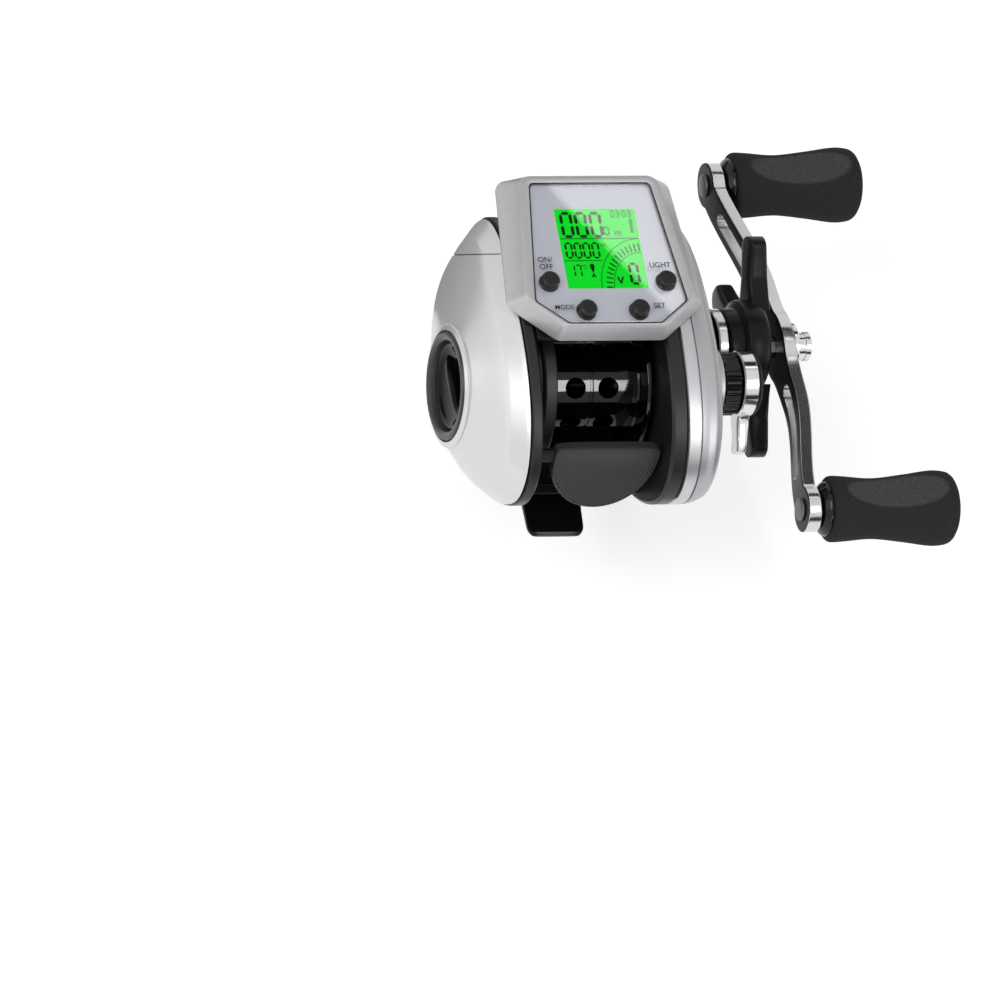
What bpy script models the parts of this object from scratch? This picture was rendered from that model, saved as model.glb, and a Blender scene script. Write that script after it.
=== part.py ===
"""Digital baitcasting reel: a low-profile fishing reel with a counter display, a star drag and a double handle.

The reel stands on the flat underside of its foot. +Z is up off the foot, +Y points to the rod tip and
+X to the handle. The origin is the middle of the foot's underside, straight below the spool's axis.
Side views are given as (y, z) places measured from the spool's axis.
"""

import math

import bmesh
import bpy
from mathutils import Matrix, Vector

MM = 0.001

# Clearances that every seat and running fit shares
SEAT_GAP = 0.3 * MM
OVERRUN = 1.0 * MM

# Body: the side outline that the frame and both covers follow, about a centre ahead of and over the spool's axis
BODY_REAR = 32.5 * MM
BODY_FRONT = 38.0 * MM
BODY_TOP = 25.5 * MM
BODY_BOTTOM = 25.4 * MM
BODY_CENTRE_FORWARD = 2.0 * MM
BODY_CENTRE_RAISE = 4.5 * MM
FRONT_SQUARENESS = 3.0
UPPER_REAR_SQUARENESS = 2.1
LOWER_REAR_SQUARENESS = 1.6
OUTLINE_STEPS = 36

# Frame: left plate with the spool guard, right plate, tray and front bar
LEFT_PLATE_OUTER_X = -20.6 * MM
LEFT_PLATE_THICKNESS = 2.8 * MM
GUARD_NECK_RADIUS = 18.8 * MM
GUARD_RADIUS = 20.2 * MM
GUARD_GROOVE = 3.2 * MM
GUARD_WIDTH = 3.2 * MM
RIGHT_PLATE_INNER_X = 13.9 * MM
RIGHT_PLATE_THICKNESS = 3.7 * MM
TRAY_OUTER_SHARE = 0.96
TRAY_THICKNESS = 2.4 * MM
TRAY_START_ANGLE = -142.0
TRAY_END_ANGLE = -33.0
BAR_OUTER_SHARE = 0.9
BAR_THICKNESS = 2.6 * MM
BAR_START_ANGLE = 30.0
BAR_END_ANGLE = 48.0

# Spool: thin drilled drum between two flanges, on a web and a hub
SPOOL_HALF_WIDTH = 13.2 * MM
SPOOL_FLANGE_RADIUS = 16.8 * MM
SPOOL_FLANGE_THICKNESS = 1.4 * MM
SPOOL_LIP = 0.7 * MM
DRUM_RADIUS = 11.6 * MM
DRUM_WALL = 1.2 * MM
SPOOL_WEB = 1.6 * MM
SPOOL_HUB_RADIUS = 3.0 * MM
SPOOL_HUB_HALF = 6.5 * MM
DRUM_HOLE_RADIUS = 2.5 * MM
DRUM_HOLE_SPACING = 8.1 * MM
DRUM_HOLES_AROUND = 8
DRUM_HOLE_TURN = 32.0
DRUM_HOLE_SIDES = 8
SPOOL_BORE_CLEARANCE = 0.7 * MM

# Spool shaft, its bearings and the pinion
SPOOL_SHAFT_RADIUS = 1.3 * MM
SPOOL_SHAFT_LEFT_X = -24.6 * MM
SPOOL_SHAFT_RIGHT_X = 33.4 * MM
BEARING_OUTER_RADIUS = 5.0 * MM
BEARING_WIDTH = 2.6 * MM
BEARING_LIP = 0.35 * MM

# Gear train: shaft place, tooth counts and widths
SHAFT_FORWARD = 14.5 * MM
SHAFT_DROP = 8.9 * MM
DRIVE_TEETH = 62
PINION_TEETH = 12
DRIVE_GEAR_X = 20.4 * MM
DRIVE_GEAR_WIDTH = 2.2 * MM
PINION_OVERLAP = 1.0 * MM
TOOTH_TIP_SHARE = 0.75
TOOTH_ROOT_SHARE = 1.05
TOOTH_TIP_WIDTH_SHARE = 0.2
TOOTH_ROOT_WIDTH_SHARE = 0.52
LAY_GEAR_X = 18.2 * MM
LAY_GEAR_WIDTH = 1.6 * MM
LAY_TEETH = 20

# Drive shaft and what rides on it, out to the handle nut
SHAFT_RADIUS = 3.0 * MM
SHAFT_NOSE_RADIUS = 2.4 * MM
SHAFT_START_X = 14.6 * MM
SHAFT_SHOULDER_X = 41.0 * MM
SHAFT_END_X = 60.5 * MM
DRAG_WASHER_RADIUS = 10.6 * MM
DRAG_WASHER_THICKNESS = 0.8 * MM
DRAG_PLATE_RADIUS = 8.6 * MM
COLLAR_RADIUS = 9.0 * MM
COLLAR_START_X = 34.6 * MM
COLLAR_END_X = 37.9 * MM
CLICK_PLATE_RADIUS = 9.0 * MM
CLICK_PLATE_THICKNESS = 2.4 * MM
STAR_HUB_RADIUS = 11.0 * MM
STAR_NECK_RADIUS = 9.0 * MM
STAR_START_X = 41.2 * MM
STAR_STEP_X = 44.8 * MM
STAR_END_X = 50.6 * MM
STAR_ARM_RADIUS = 25.8 * MM
STAR_ARM_ROOT_HALF = 5.2 * MM
STAR_ARM_WAIST_HALF = 2.8 * MM
STAR_ARM_TIP_HALF = 3.6 * MM
STAR_ARM_X = 47.4 * MM
STAR_ARM_WIDTH = 5.2 * MM
STAR_ARM_ANGLES = (29.5, -33.0, -92.0, 207.0)

# Crank: bowed arm with two windows, a nut and the knob pins
CRANK_LENGTH = 98.6 * MM
CRANK_ANGLE = -11.6
CRANK_HUB_X = 54.6 * MM
CRANK_DROP = 4.9 * MM
CRANK_BOW_START = 16.0 * MM
CRANK_THICKNESS = 3.2 * MM
CRANK_HUB_HALF = 7.0 * MM
CRANK_ARM_HALF = 4.4 * MM
CRANK_END_RADIUS = 5.4 * MM
CRANK_WINDOW_HALF = 1.9 * MM
CRANK_WINDOW_START = 12.0 * MM
CRANK_WINDOW_MARGIN = 3.9 * MM
NUT_FLANGE_RADIUS = 5.6 * MM
NUT_RADIUS = 2.9 * MM
NUT_CAP_RADIUS = 3.5 * MM
NUT_FLANGE_THICKNESS = 1.4 * MM
NUT_LENGTH = 5.2 * MM
NUT_CAP_LENGTH = 1.4 * MM
NUT_WALL = 0.6 * MM

# Knobs: turned foam grips that spin on pins through the crank's ends
PIN_RADIUS = 1.9 * MM
PIN_HEAD_RADIUS = 2.7 * MM
PIN_HEAD_HEIGHT = 0.5 * MM
COLLAR_GAP = 0.5 * MM
KNOB_COLLAR_LENGTH = 2.3 * MM
KNOB_COLLAR_SMALL_RADIUS = 4.9 * MM
KNOB_COLLAR_LARGE_RADIUS = 6.4 * MM
GRIP_LENGTH = 31.0 * MM
GRIP_INNER_END_RADIUS = 7.8 * MM
GRIP_WAIST_RADIUS = 7.1 * MM
GRIP_OUTER_END_RADIUS = 8.8 * MM
GRIP_EDGE = 1.3 * MM
GRIP_WAIST_SHARE = 0.36
GRIP_FLARE_SHARE = 0.82
GRIP_BLIND_WALL = 2.4 * MM

# Palm side cover and its brake dial
PALM_RIM_SHARE = 0.88
PALM_RIM_WIDTH = 4.0 * MM
PALM_DEPTH = 11.1 * MM
COVER_WALL = 1.6 * MM
BEZEL_RADIUS = 12.8 * MM
BEZEL_BORE_RADIUS = 10.3 * MM
BEZEL_PROUD = 0.5 * MM
BEZEL_DEPTH = 3.6 * MM
DIAL_RADIUS = 9.9 * MM
DIAL_RECESS = 1.2 * MM
DIAL_THICKNESS = 2.2 * MM
DIAL_GRIP_HALF = 1.3 * MM
DIAL_GRIP_HEIGHT = 1.4 * MM
DIAL_GRIP_LENGTH_SHARE = 0.86
DIAL_STEM_RADIUS = 2.6 * MM
SEAM_TILT = 28.0
SEAM_OFFSET = 30.5 * MM
BRAKE_DISC_THICKNESS = 1.6 * MM
BRAKE_HUB_RADIUS = 6.8 * MM
BRAKE_HUB_LENGTH = 4.6 * MM
MAGNET_OUTER_RADIUS = 9.8 * MM
MAGNET_INNER_RADIUS = 7.2 * MM
MAGNET_THICKNESS = 1.8 * MM

# Gear side cover with its two bosses
GEAR_COVER_BAND = 3.2 * MM
GEAR_COVER_DEPTH = 12.4 * MM
CAVITY_SHARE = 0.96
TENSION_BOSS_RADIUS = 9.2 * MM
TENSION_BOSS_X = 34.3 * MM
SHAFT_BOSS_RADIUS = 8.8 * MM
SHAFT_BOSS_X = 34.3 * MM
ONE_WAY_RADIUS = 6.4 * MM
ONE_WAY_WIDTH = 5.0 * MM

# Cast control on the spool's axis: knurled cap, polished lever ring and end cap
TENSION_CAP_RADIUS = 7.4 * MM
TENSION_CAP_END_X = 39.2 * MM
TENSION_CAP_EDGE = 0.5 * MM
TENSION_STEM_RADIUS = 4.0 * MM
LEVER_RADIUS = 7.7 * MM
LEVER_WIDTH = 3.6 * MM
LEVER_REACH = 16.5 * MM
LEVER_HALF_WIDTH = 2.3 * MM
LEVER_ANGLE = 214.0
TENSION_END_RADIUS = 7.2 * MM
TENSION_END_THICKNESS = 1.0 * MM

# Level wind: worm with crossing grooves, line guide and guide rod
WORM_FORWARD = 27.5 * MM
WORM_DROP = 8.9 * MM
WORM_RADIUS = 2.6 * MM
WORM_JOURNAL_RADIUS = 1.5 * MM
WORM_GROOVE_DEPTH = 0.8 * MM
WORM_GROOVE_HALF_LENGTH = 11.0 * MM
WORM_TURNS = 4
WORM_STEPS_AROUND = 12
WORM_STEPS_ALONG = 28
WORM_GROOVE_SHARE = 0.16
ROD_RAISE = 7.6 * MM
ROD_RADIUS = 1.2 * MM
GUIDE_HALF_WIDTH = 3.6 * MM
GUIDE_HALF_DEPTH = 3.9 * MM
GUIDE_WALL = 1.3 * MM
GUIDE_EYE_RADIUS = 2.4 * MM
GUIDE_INSERT_WALL = 0.9 * MM
GUIDE_TRAVEL = 8.6 * MM

# Thumb bar that frees the spool
THUMB_CENTRE_X = 0.3 * MM
THUMB_HALF_WIDTH = 13.1 * MM
THUMB_TOP_BACK = 21.4 * MM
THUMB_TOP_RAISE = 12.0 * MM
THUMB_LENGTH = 18.2 * MM
THUMB_LEAN = 20.6
THUMB_THICKNESS = 2.6 * MM
THUMB_CROWN_SHARE = 0.9
THUMB_CORNER_SHARE = 0.12
THUMB_LUG_LENGTH = 4.6 * MM
THUMB_LUG_THICKNESS = 1.5 * MM
THUMB_TRAVEL = 3.5 * MM

# Foot
FOOT_LENGTH = 49.0 * MM
FOOT_HALF_WIDTH = 7.7 * MM
FOOT_TIP_HALF_WIDTH = 6.9 * MM
FOOT_THICKNESS = 2.5 * MM
FOOT_TIP_THICKNESS = 1.3 * MM
FOOT_CORNER = 1.6 * MM
STEM_HALF_WIDTH = 8.6 * MM
STEM_HALF_LENGTH = 12.0 * MM
STEM_HEIGHT = 2.116 * MM

# Hood over the level wind and the pedestal that carries the display
HOOD_SHARE = 1.0
HOOD_THICKNESS = 1.5 * MM
HOOD_START_ANGLE = 14.0
HOOD_END_ANGLE = 95.0
PEDESTAL_LEFT_X = -17.0 * MM
PEDESTAL_RIGHT_X = 15.0 * MM
PEDESTAL_REAR_Y = 4.5 * MM
PEDESTAL_FRONT_Y = 35.5 * MM

# Display head. Each plan has the y place and half width of its front, shoulder and rear corners
LOWER_PLAN = ((39.5 * MM, 21.3 * MM), (6.4 * MM, 24.1 * MM), (-2.5 * MM, 13.2 * MM))
TOP_PLAN = ((38.5 * MM, 17.2 * MM), (6.2 * MM, 21.3 * MM), (-1.5 * MM, 12.7 * MM))
WINDOW_PLAN = ((36.2 * MM, 14.7 * MM), (5.4 * MM, 18.6 * MM), (-0.4 * MM, 11.3 * MM))
DISPLAY_BASE_Z = 26.1 * MM
DISPLAY_TOP_Z = 31.6 * MM
DISPLAY_EDGE = 0.7 * MM
DISPLAY_WALL = 1.6 * MM
DISPLAY_FLOOR = 0.8 * MM
DISPLAY_CORNER = 3.0 * MM
WINDOW_CORNER = 1.4 * MM
WINDOW_THICKNESS = 0.9 * MM
WINDOW_LEDGE = 0.8 * MM
CORNER_STEPS = 3
SCREEN_HALF_WIDTH = 10.6 * MM
SCREEN_REAR_Y = 8.2 * MM
SCREEN_FRONT_Y = 30.6 * MM
SCREEN_THICKNESS = 1.1 * MM
BOARD_THICKNESS = 0.8 * MM
CELL_RADIUS = 8.0 * MM
CELL_THICKNESS = 1.4 * MM
CELL_Y = 22.0 * MM
BUTTON_RADIUS = 2.2 * MM
BUTTON_PROUD = 1.4 * MM
BUTTON_TRAVEL = 0.5 * MM
BUTTON_EDGE = 0.25 * MM
BUTTON_OUTER_X = 14.4 * MM
BUTTON_OUTER_Y = 10.4 * MM
BUTTON_INNER_X = 6.5 * MM
BUTTON_INNER_Y = 2.9 * MM

# Numbers of sides on round pieces, and the angle past which an edge stays sharp
FINE_SIDES = 24
ROUND_SIDES = 20
SMALL_SIDES = 12
SHARP_ANGLE = math.radians(35)

# Colour, roughness and metallic value of each finish
FINISHES = {
    "pearl silver": ((0.78, 0.78, 0.79), 0.32, 0.55),
    "satin aluminium": ((0.62, 0.63, 0.66), 0.28, 0.9),
    "display grey": ((0.55, 0.55, 0.56), 0.45, 0.25),
    "black anodised": ((0.03, 0.03, 0.035), 0.32, 0.6),
    "black moulding": ((0.02, 0.02, 0.022), 0.5, 0.0),
    "gloss black": ((0.012, 0.012, 0.014), 0.12, 0.3),
    "foam": ((0.035, 0.035, 0.038), 0.9, 0.0),
    "polished steel": ((0.75, 0.75, 0.77), 0.15, 1.0),
    "brass": ((0.72, 0.53, 0.22), 0.3, 1.0),
    "carbon": ((0.05, 0.05, 0.05), 0.6, 0.0),
    "window": ((0.72, 0.73, 0.78), 0.08, 0.0),
    "screen green": ((0.05, 0.75, 0.12), 0.3, 0.0),
    "board green": ((0.03, 0.2, 0.08), 0.5, 0.0),
    "ceramic": ((0.85, 0.85, 0.82), 0.2, 0.0),
}

# Worked out from the sizes above
SPOOL_AXIS_HEIGHT = FOOT_THICKNESS + STEM_HEIGHT + TRAY_OUTER_SHARE * BODY_BOTTOM
SHAFT_Y = SHAFT_FORWARD
SHAFT_Z = -SHAFT_DROP
GEAR_CENTRES = math.hypot(SHAFT_FORWARD, SHAFT_DROP)
GEAR_MODULE = 2 * GEAR_CENTRES / (DRIVE_TEETH + PINION_TEETH)
LAY_CENTRES = math.hypot(WORM_FORWARD - SHAFT_FORWARD, WORM_DROP - SHAFT_DROP)
LAY_MODULE = LAY_CENTRES / LAY_TEETH
LEFT_PLATE_INNER_X = LEFT_PLATE_OUTER_X + LEFT_PLATE_THICKNESS
GUARD_START_X = LEFT_PLATE_INNER_X + GUARD_GROOVE
GUARD_END_X = GUARD_START_X + GUARD_WIDTH
RIGHT_PLATE_OUTER_X = RIGHT_PLATE_INNER_X + RIGHT_PLATE_THICKNESS
PALM_START_X = LEFT_PLATE_OUTER_X - SEAT_GAP
PALM_CREASE_X = PALM_START_X - PALM_RIM_WIDTH
PALM_END_X = PALM_START_X - PALM_DEPTH
GEAR_COVER_X = RIGHT_PLATE_OUTER_X + SEAT_GAP
GUARD_BORE = SPOOL_FLANGE_RADIUS + SPOOL_BORE_CLEARANCE
PIN_BORE = PIN_RADIUS + SEAT_GAP
CRANK_END_X = CRANK_HUB_X - CRANK_DROP
CRANK_WINDOW_END = CRANK_LENGTH / 2 - CRANK_END_RADIUS - CRANK_WINDOW_MARGIN
KNOB_START_X = CRANK_END_X + CRANK_THICKNESS + COLLAR_GAP
GRIP_START_X = KNOB_START_X + KNOB_COLLAR_LENGTH
DIAL_FACE_X = PALM_END_X + DIAL_RECESS
WINDOW_TOP_Z = DISPLAY_TOP_Z
WINDOW_BOTTOM_Z = WINDOW_TOP_Z - WINDOW_THICKNESS
SCREEN_TOP_Z = WINDOW_BOTTOM_Z - SEAT_GAP
BOARD_TOP_Z = SCREEN_TOP_Z - SCREEN_THICKNESS - SEAT_GAP
CELL_TOP_Z = BOARD_TOP_Z - BOARD_THICKNESS - SEAT_GAP
DRAG_WASHER_X = DRIVE_GEAR_X + DRIVE_GEAR_WIDTH + SEAT_GAP
DRAG_PLATE_X = DRAG_WASHER_X + DRAG_WASHER_THICKNESS + SEAT_GAP
DRAG_STACK_END_X = DRAG_PLATE_X + DRAG_WASHER_THICKNESS
NOWHERE = Vector((0, 0, 0))

for item in list(bpy.data.objects):
    bpy.data.objects.remove(item, do_unlink=True)


def circle(radius, y, z, sides):
    """Points (y, z) of a circle in side view."""
    turns = [2 * math.pi * step / sides for step in range(sides)]
    return [(y + radius * math.cos(turn), z + radius * math.sin(turn)) for turn in turns]


def outline_point(turn):
    """Point (y, z) of the body's side outline: a squared ellipse whose lower rear is cut towards the foot."""
    forward = math.cos(turn)
    upward = math.sin(turn)
    if forward > 0:
        length = BODY_FRONT - BODY_CENTRE_FORWARD
        squareness = FRONT_SQUARENESS
    else:
        length = BODY_REAR + BODY_CENTRE_FORWARD
        squareness = UPPER_REAR_SQUARENESS if upward > 0 else LOWER_REAR_SQUARENESS
    height = BODY_TOP - BODY_CENTRE_RAISE if upward > 0 else BODY_BOTTOM + BODY_CENTRE_RAISE
    y = math.copysign(length * abs(forward) ** (2 / squareness), forward)
    z = math.copysign(height * abs(upward) ** (2 / squareness), upward)
    return y + BODY_CENTRE_FORWARD, z + BODY_CENTRE_RAISE


def body_outline(share=1.0, round_radius=0.0, roundness=0.0):
    """Body outline drawn in by a share, and blended towards a circle by roundness."""
    points = []
    for step in range(OUTLINE_STEPS):
        turn = 2 * math.pi * step / OUTLINE_STEPS
        y, z = outline_point(turn)
        reach = math.hypot(y, z)
        wanted = share * reach * (1 - roundness) + round_radius * roundness
        points.append((y * wanted / reach, z * wanted / reach))
    return points


def band_outline(outer_share, thickness, start_degrees, end_degrees, steps):
    """Curved strip that follows the body outline between two directions."""
    outer = []
    inner = []
    for step in range(steps + 1):
        turn = math.radians(start_degrees + (end_degrees - start_degrees) * step / steps)
        y, z = outline_point(turn)
        reach = math.hypot(y, z)
        outer_reach = outer_share * reach
        inner_reach = outer_reach - thickness
        outer.append((y * outer_reach / reach, z * outer_reach / reach))
        inner.append((y * inner_reach / reach, z * inner_reach / reach))
    return outer + inner[::-1]


def ring_at(x, outline):
    """Side-view outline placed at x in the reel's frame."""
    return [(x, y, z + SPOOL_AXIS_HEIGHT) for y, z in outline]


def level_ring(outline, z):
    """Plan-view outline (x, y) placed at a height over the spool's axis."""
    return [(x, y, z + SPOOL_AXIS_HEIGHT) for x, y in outline]


def loft(rings, closed=False):
    """Skin over rings of equal count; a closed loft joins its last ring to its first, as a tube does."""
    bm = bmesh.new()
    loops = [[bm.verts.new(point) for point in ring] for ring in rings]
    pairs = list(zip(loops, loops[1:]))
    if closed:
        pairs.append((loops[-1], loops[0]))
    else:
        bm.faces.new(loops[0][::-1])
        bm.faces.new(loops[-1])
    for near, far in pairs:
        for i in range(len(near)):
            j = (i + 1) % len(near)
            bm.faces.new((near[i], near[j], far[j], far[i]))
    return bm


def prism(outline, start_x, end_x):
    """Side-view outline extruded along x."""
    bm = bmesh.new()
    bm.faces.new([bm.verts.new(point) for point in ring_at(start_x, outline)])
    made = bmesh.ops.extrude_face_region(bm, geom=list(bm.faces))
    moved = [item for item in made["geom"] if isinstance(item, bmesh.types.BMVert)]
    bmesh.ops.translate(bm, verts=moved, vec=(end_x - start_x, 0, 0))
    return bm


def turned(profile, y=0.0, z=0.0, sides=ROUND_SIDES, closed=False):
    """Profile of (x, radius) points spun about an axis along x; a closed profile makes a tube."""
    centre = Vector((0, y, z + SPOOL_AXIS_HEIGHT))
    bm = bmesh.new()
    verts = [bm.verts.new((x, centre.y + radius, centre.z)) for x, radius in profile]
    edges = [bm.edges.new(pair) for pair in zip(verts, verts[1:])]
    if closed:
        edges.append(bm.edges.new((verts[-1], verts[0])))
    bmesh.ops.spin(
        bm, geom=verts + edges, cent=centre, axis=(1, 0, 0), angle=2 * math.pi, steps=sides, use_merge=True
    )
    bmesh.ops.remove_doubles(bm, verts=list(bm.verts), dist=SEAT_GAP / 100)
    if not closed:
        bmesh.ops.holes_fill(bm, edges=list(bm.edges), sides=sides)
    return bm


def tube(start_x, end_x, outer, inner, y=0.0, z=0.0, sides=ROUND_SIDES):
    """Plain ring along x."""
    profile = [(start_x, outer), (end_x, outer), (end_x, inner), (start_x, inner)]
    return turned(profile, y, z, sides, closed=True)


def block(low, high):
    """Box between two corners, placed from the spool's axis."""
    size = Vector(high) - Vector(low)
    middle = (Vector(high) + Vector(low)) / 2 + Vector((0, 0, SPOOL_AXIS_HEIGHT))
    bm = bmesh.new()
    bmesh.ops.create_cube(bm, size=1)
    bmesh.ops.scale(bm, verts=bm.verts, vec=size)
    bmesh.ops.translate(bm, verts=bm.verts, vec=middle)
    return bm


def add(name, bm, finish, pivot=NOWHERE):
    """Make a finished object whose origin is at pivot, a place in the reel's frame."""
    bmesh.ops.recalc_face_normals(bm, faces=list(bm.faces))
    bmesh.ops.translate(bm, verts=bm.verts, vec=-Vector(pivot))
    mesh = bpy.data.meshes.new(name)
    bm.to_mesh(mesh)
    bm.free()
    mesh.shade_smooth()
    mesh.set_sharp_from_angle(angle=SHARP_ANGLE)
    piece = bpy.data.objects.new(name, mesh)
    piece.location = pivot
    bpy.context.scene.collection.objects.link(piece)
    colour, roughness, metallic = FINISHES[finish]
    material = bpy.data.materials.new(name)
    material.use_nodes = True
    shader = material.node_tree.nodes["Principled BSDF"]
    shader.inputs["Base Color"].default_value = (*colour, 1)
    shader.inputs["Roughness"].default_value = roughness
    shader.inputs["Metallic"].default_value = metallic
    mesh.materials.append(material)
    return piece


def combine(piece, bm, operation, label):
    """Join, cut or trim a piece with a hidden guide shape, made in the reel's frame like the piece."""
    bmesh.ops.recalc_face_normals(bm, faces=list(bm.faces))
    mesh = bpy.data.meshes.new(label)
    bm.to_mesh(mesh)
    bm.free()
    guide = bpy.data.objects.new(label, mesh)
    guide.hide_render = True
    guide.display_type = "WIRE"
    bpy.context.scene.collection.objects.link(guide)
    step = piece.modifiers.new(label, "BOOLEAN")
    step.operation = operation
    step.solver = "EXACT"
    step.object = guide
    return piece


def on_axis(y, z):
    """Pivot on an axis along x, at a side-view place."""
    return Vector((0, y, z + SPOOL_AXIS_HEIGHT))


SPOOL_PIVOT = on_axis(0, 0)
SHAFT_PIVOT = on_axis(SHAFT_Y, SHAFT_Z)
WORM_PIVOT = on_axis(WORM_FORWARD, -WORM_DROP)


def make_frame():
    """One-piece frame: left plate with the spool guard, right plate, tray, front bar and their bores."""
    left = prism(body_outline(), LEFT_PLATE_OUTER_X, LEFT_PLATE_INNER_X)
    frame = add("frame", left, "black anodised")
    guard = [
        (LEFT_PLATE_INNER_X - OVERRUN, GUARD_NECK_RADIUS),
        (GUARD_START_X, GUARD_NECK_RADIUS),
        (GUARD_START_X, GUARD_RADIUS),
        (GUARD_END_X, GUARD_RADIUS),
    ]
    combine(frame, turned(guard, sides=FINE_SIDES), "UNION", "spool guard")
    right = prism(body_outline(), RIGHT_PLATE_INNER_X, RIGHT_PLATE_OUTER_X)
    tray = prism(
        band_outline(TRAY_OUTER_SHARE, TRAY_THICKNESS, TRAY_START_ANGLE, TRAY_END_ANGLE, 20),
        LEFT_PLATE_INNER_X - OVERRUN,
        RIGHT_PLATE_INNER_X + OVERRUN,
    )
    bar = prism(
        band_outline(BAR_OUTER_SHARE, BAR_THICKNESS, BAR_START_ANGLE, BAR_END_ANGLE, 3),
        LEFT_PLATE_INNER_X - OVERRUN,
        RIGHT_PLATE_INNER_X + OVERRUN,
    )
    combine(frame, tray, "UNION", "frame tray")
    combine(frame, bar, "UNION", "front bar")
    combine(frame, right, "UNION", "right plate")
    spool_bore = [(LEFT_PLATE_OUTER_X - OVERRUN, GUARD_BORE), (GUARD_END_X + OVERRUN, GUARD_BORE)]
    combine(frame, turned(spool_bore, sides=FINE_SIDES), "DIFFERENCE", "spool bore")
    through_right = (RIGHT_PLATE_INNER_X - OVERRUN, RIGHT_PLATE_OUTER_X + OVERRUN)
    bearing_bore = [(x, BEARING_OUTER_RADIUS + SEAT_GAP) for x in through_right]
    combine(frame, turned(bearing_bore), "DIFFERENCE", "bearing bore")
    shaft_bore = [(x, SHAFT_RADIUS + SEAT_GAP) for x in through_right]
    combine(frame, turned(shaft_bore, SHAFT_Y, SHAFT_Z, SMALL_SIDES), "DIFFERENCE", "shaft bore")
    worm_span = (LEFT_PLATE_OUTER_X - OVERRUN, RIGHT_PLATE_OUTER_X + OVERRUN)
    worm_bore = [(x, WORM_JOURNAL_RADIUS + SEAT_GAP) for x in worm_span]
    combine(frame, turned(worm_bore, WORM_FORWARD, -WORM_DROP, SMALL_SIDES), "DIFFERENCE", "worm bore")
    rod_bore = [(x, ROD_RADIUS + SEAT_GAP) for x in worm_span]
    combine(frame, turned(rod_bore, WORM_FORWARD, ROD_RAISE, SMALL_SIDES), "DIFFERENCE", "rod bore")


def make_foot():
    """Reel foot: a long plate with thin tips, and a stem whose top follows the tray."""
    half = FOOT_LENGTH / 2
    stations = (
        (-half, FOOT_TIP_HALF_WIDTH - FOOT_CORNER, FOOT_TIP_THICKNESS),
        (-half + FOOT_CORNER, FOOT_TIP_HALF_WIDTH, FOOT_TIP_THICKNESS),
        (-STEM_HALF_LENGTH, FOOT_HALF_WIDTH, FOOT_THICKNESS),
        (STEM_HALF_LENGTH, FOOT_HALF_WIDTH, FOOT_THICKNESS),
        (half - FOOT_CORNER, FOOT_TIP_HALF_WIDTH, FOOT_TIP_THICKNESS),
        (half, FOOT_TIP_HALF_WIDTH - FOOT_CORNER, FOOT_TIP_THICKNESS),
    )
    rings = []
    for y, half_width, thickness in stations:
        edge = thickness / 2
        rings.append([
            (-half_width, y, 0),
            (half_width, y, 0),
            (half_width, y, edge),
            (half_width - edge, y, thickness),
            (edge - half_width, y, thickness),
            (-half_width, y, edge),
        ])
    foot = add("reel_foot", loft(rings), "black moulding")
    stem_low = (-STEM_HALF_WIDTH, -STEM_HALF_LENGTH, FOOT_THICKNESS / 2 - SPOOL_AXIS_HEIGHT)
    stem_high = (STEM_HALF_WIDTH, STEM_HALF_LENGTH, 0)
    combine(foot, block(stem_low, stem_high), "UNION", "foot stem")
    seat_share = TRAY_OUTER_SHARE + SEAT_GAP / BODY_BOTTOM
    seat = prism(body_outline(seat_share), -STEM_HALF_WIDTH - OVERRUN, STEM_HALF_WIDTH + OVERRUN)
    combine(foot, seat, "DIFFERENCE", "tray seat")


def palm_dome_rings(share, end_x, centre_radius, wall, stations):
    """Rings of the palm cover's dome, from the frame plate out to the dial's opening."""
    crease = PALM_CREASE_X + wall
    rings = [
        ring_at(PALM_START_X, body_outline(share)),
        ring_at(crease, body_outline(share * PALM_RIM_SHARE)),
    ]
    for depth, reach in stations:
        x = crease + (end_x - crease) * depth
        rings.append(ring_at(x, body_outline(share * PALM_RIM_SHARE, centre_radius, 1 - reach)))
    return rings


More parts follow.
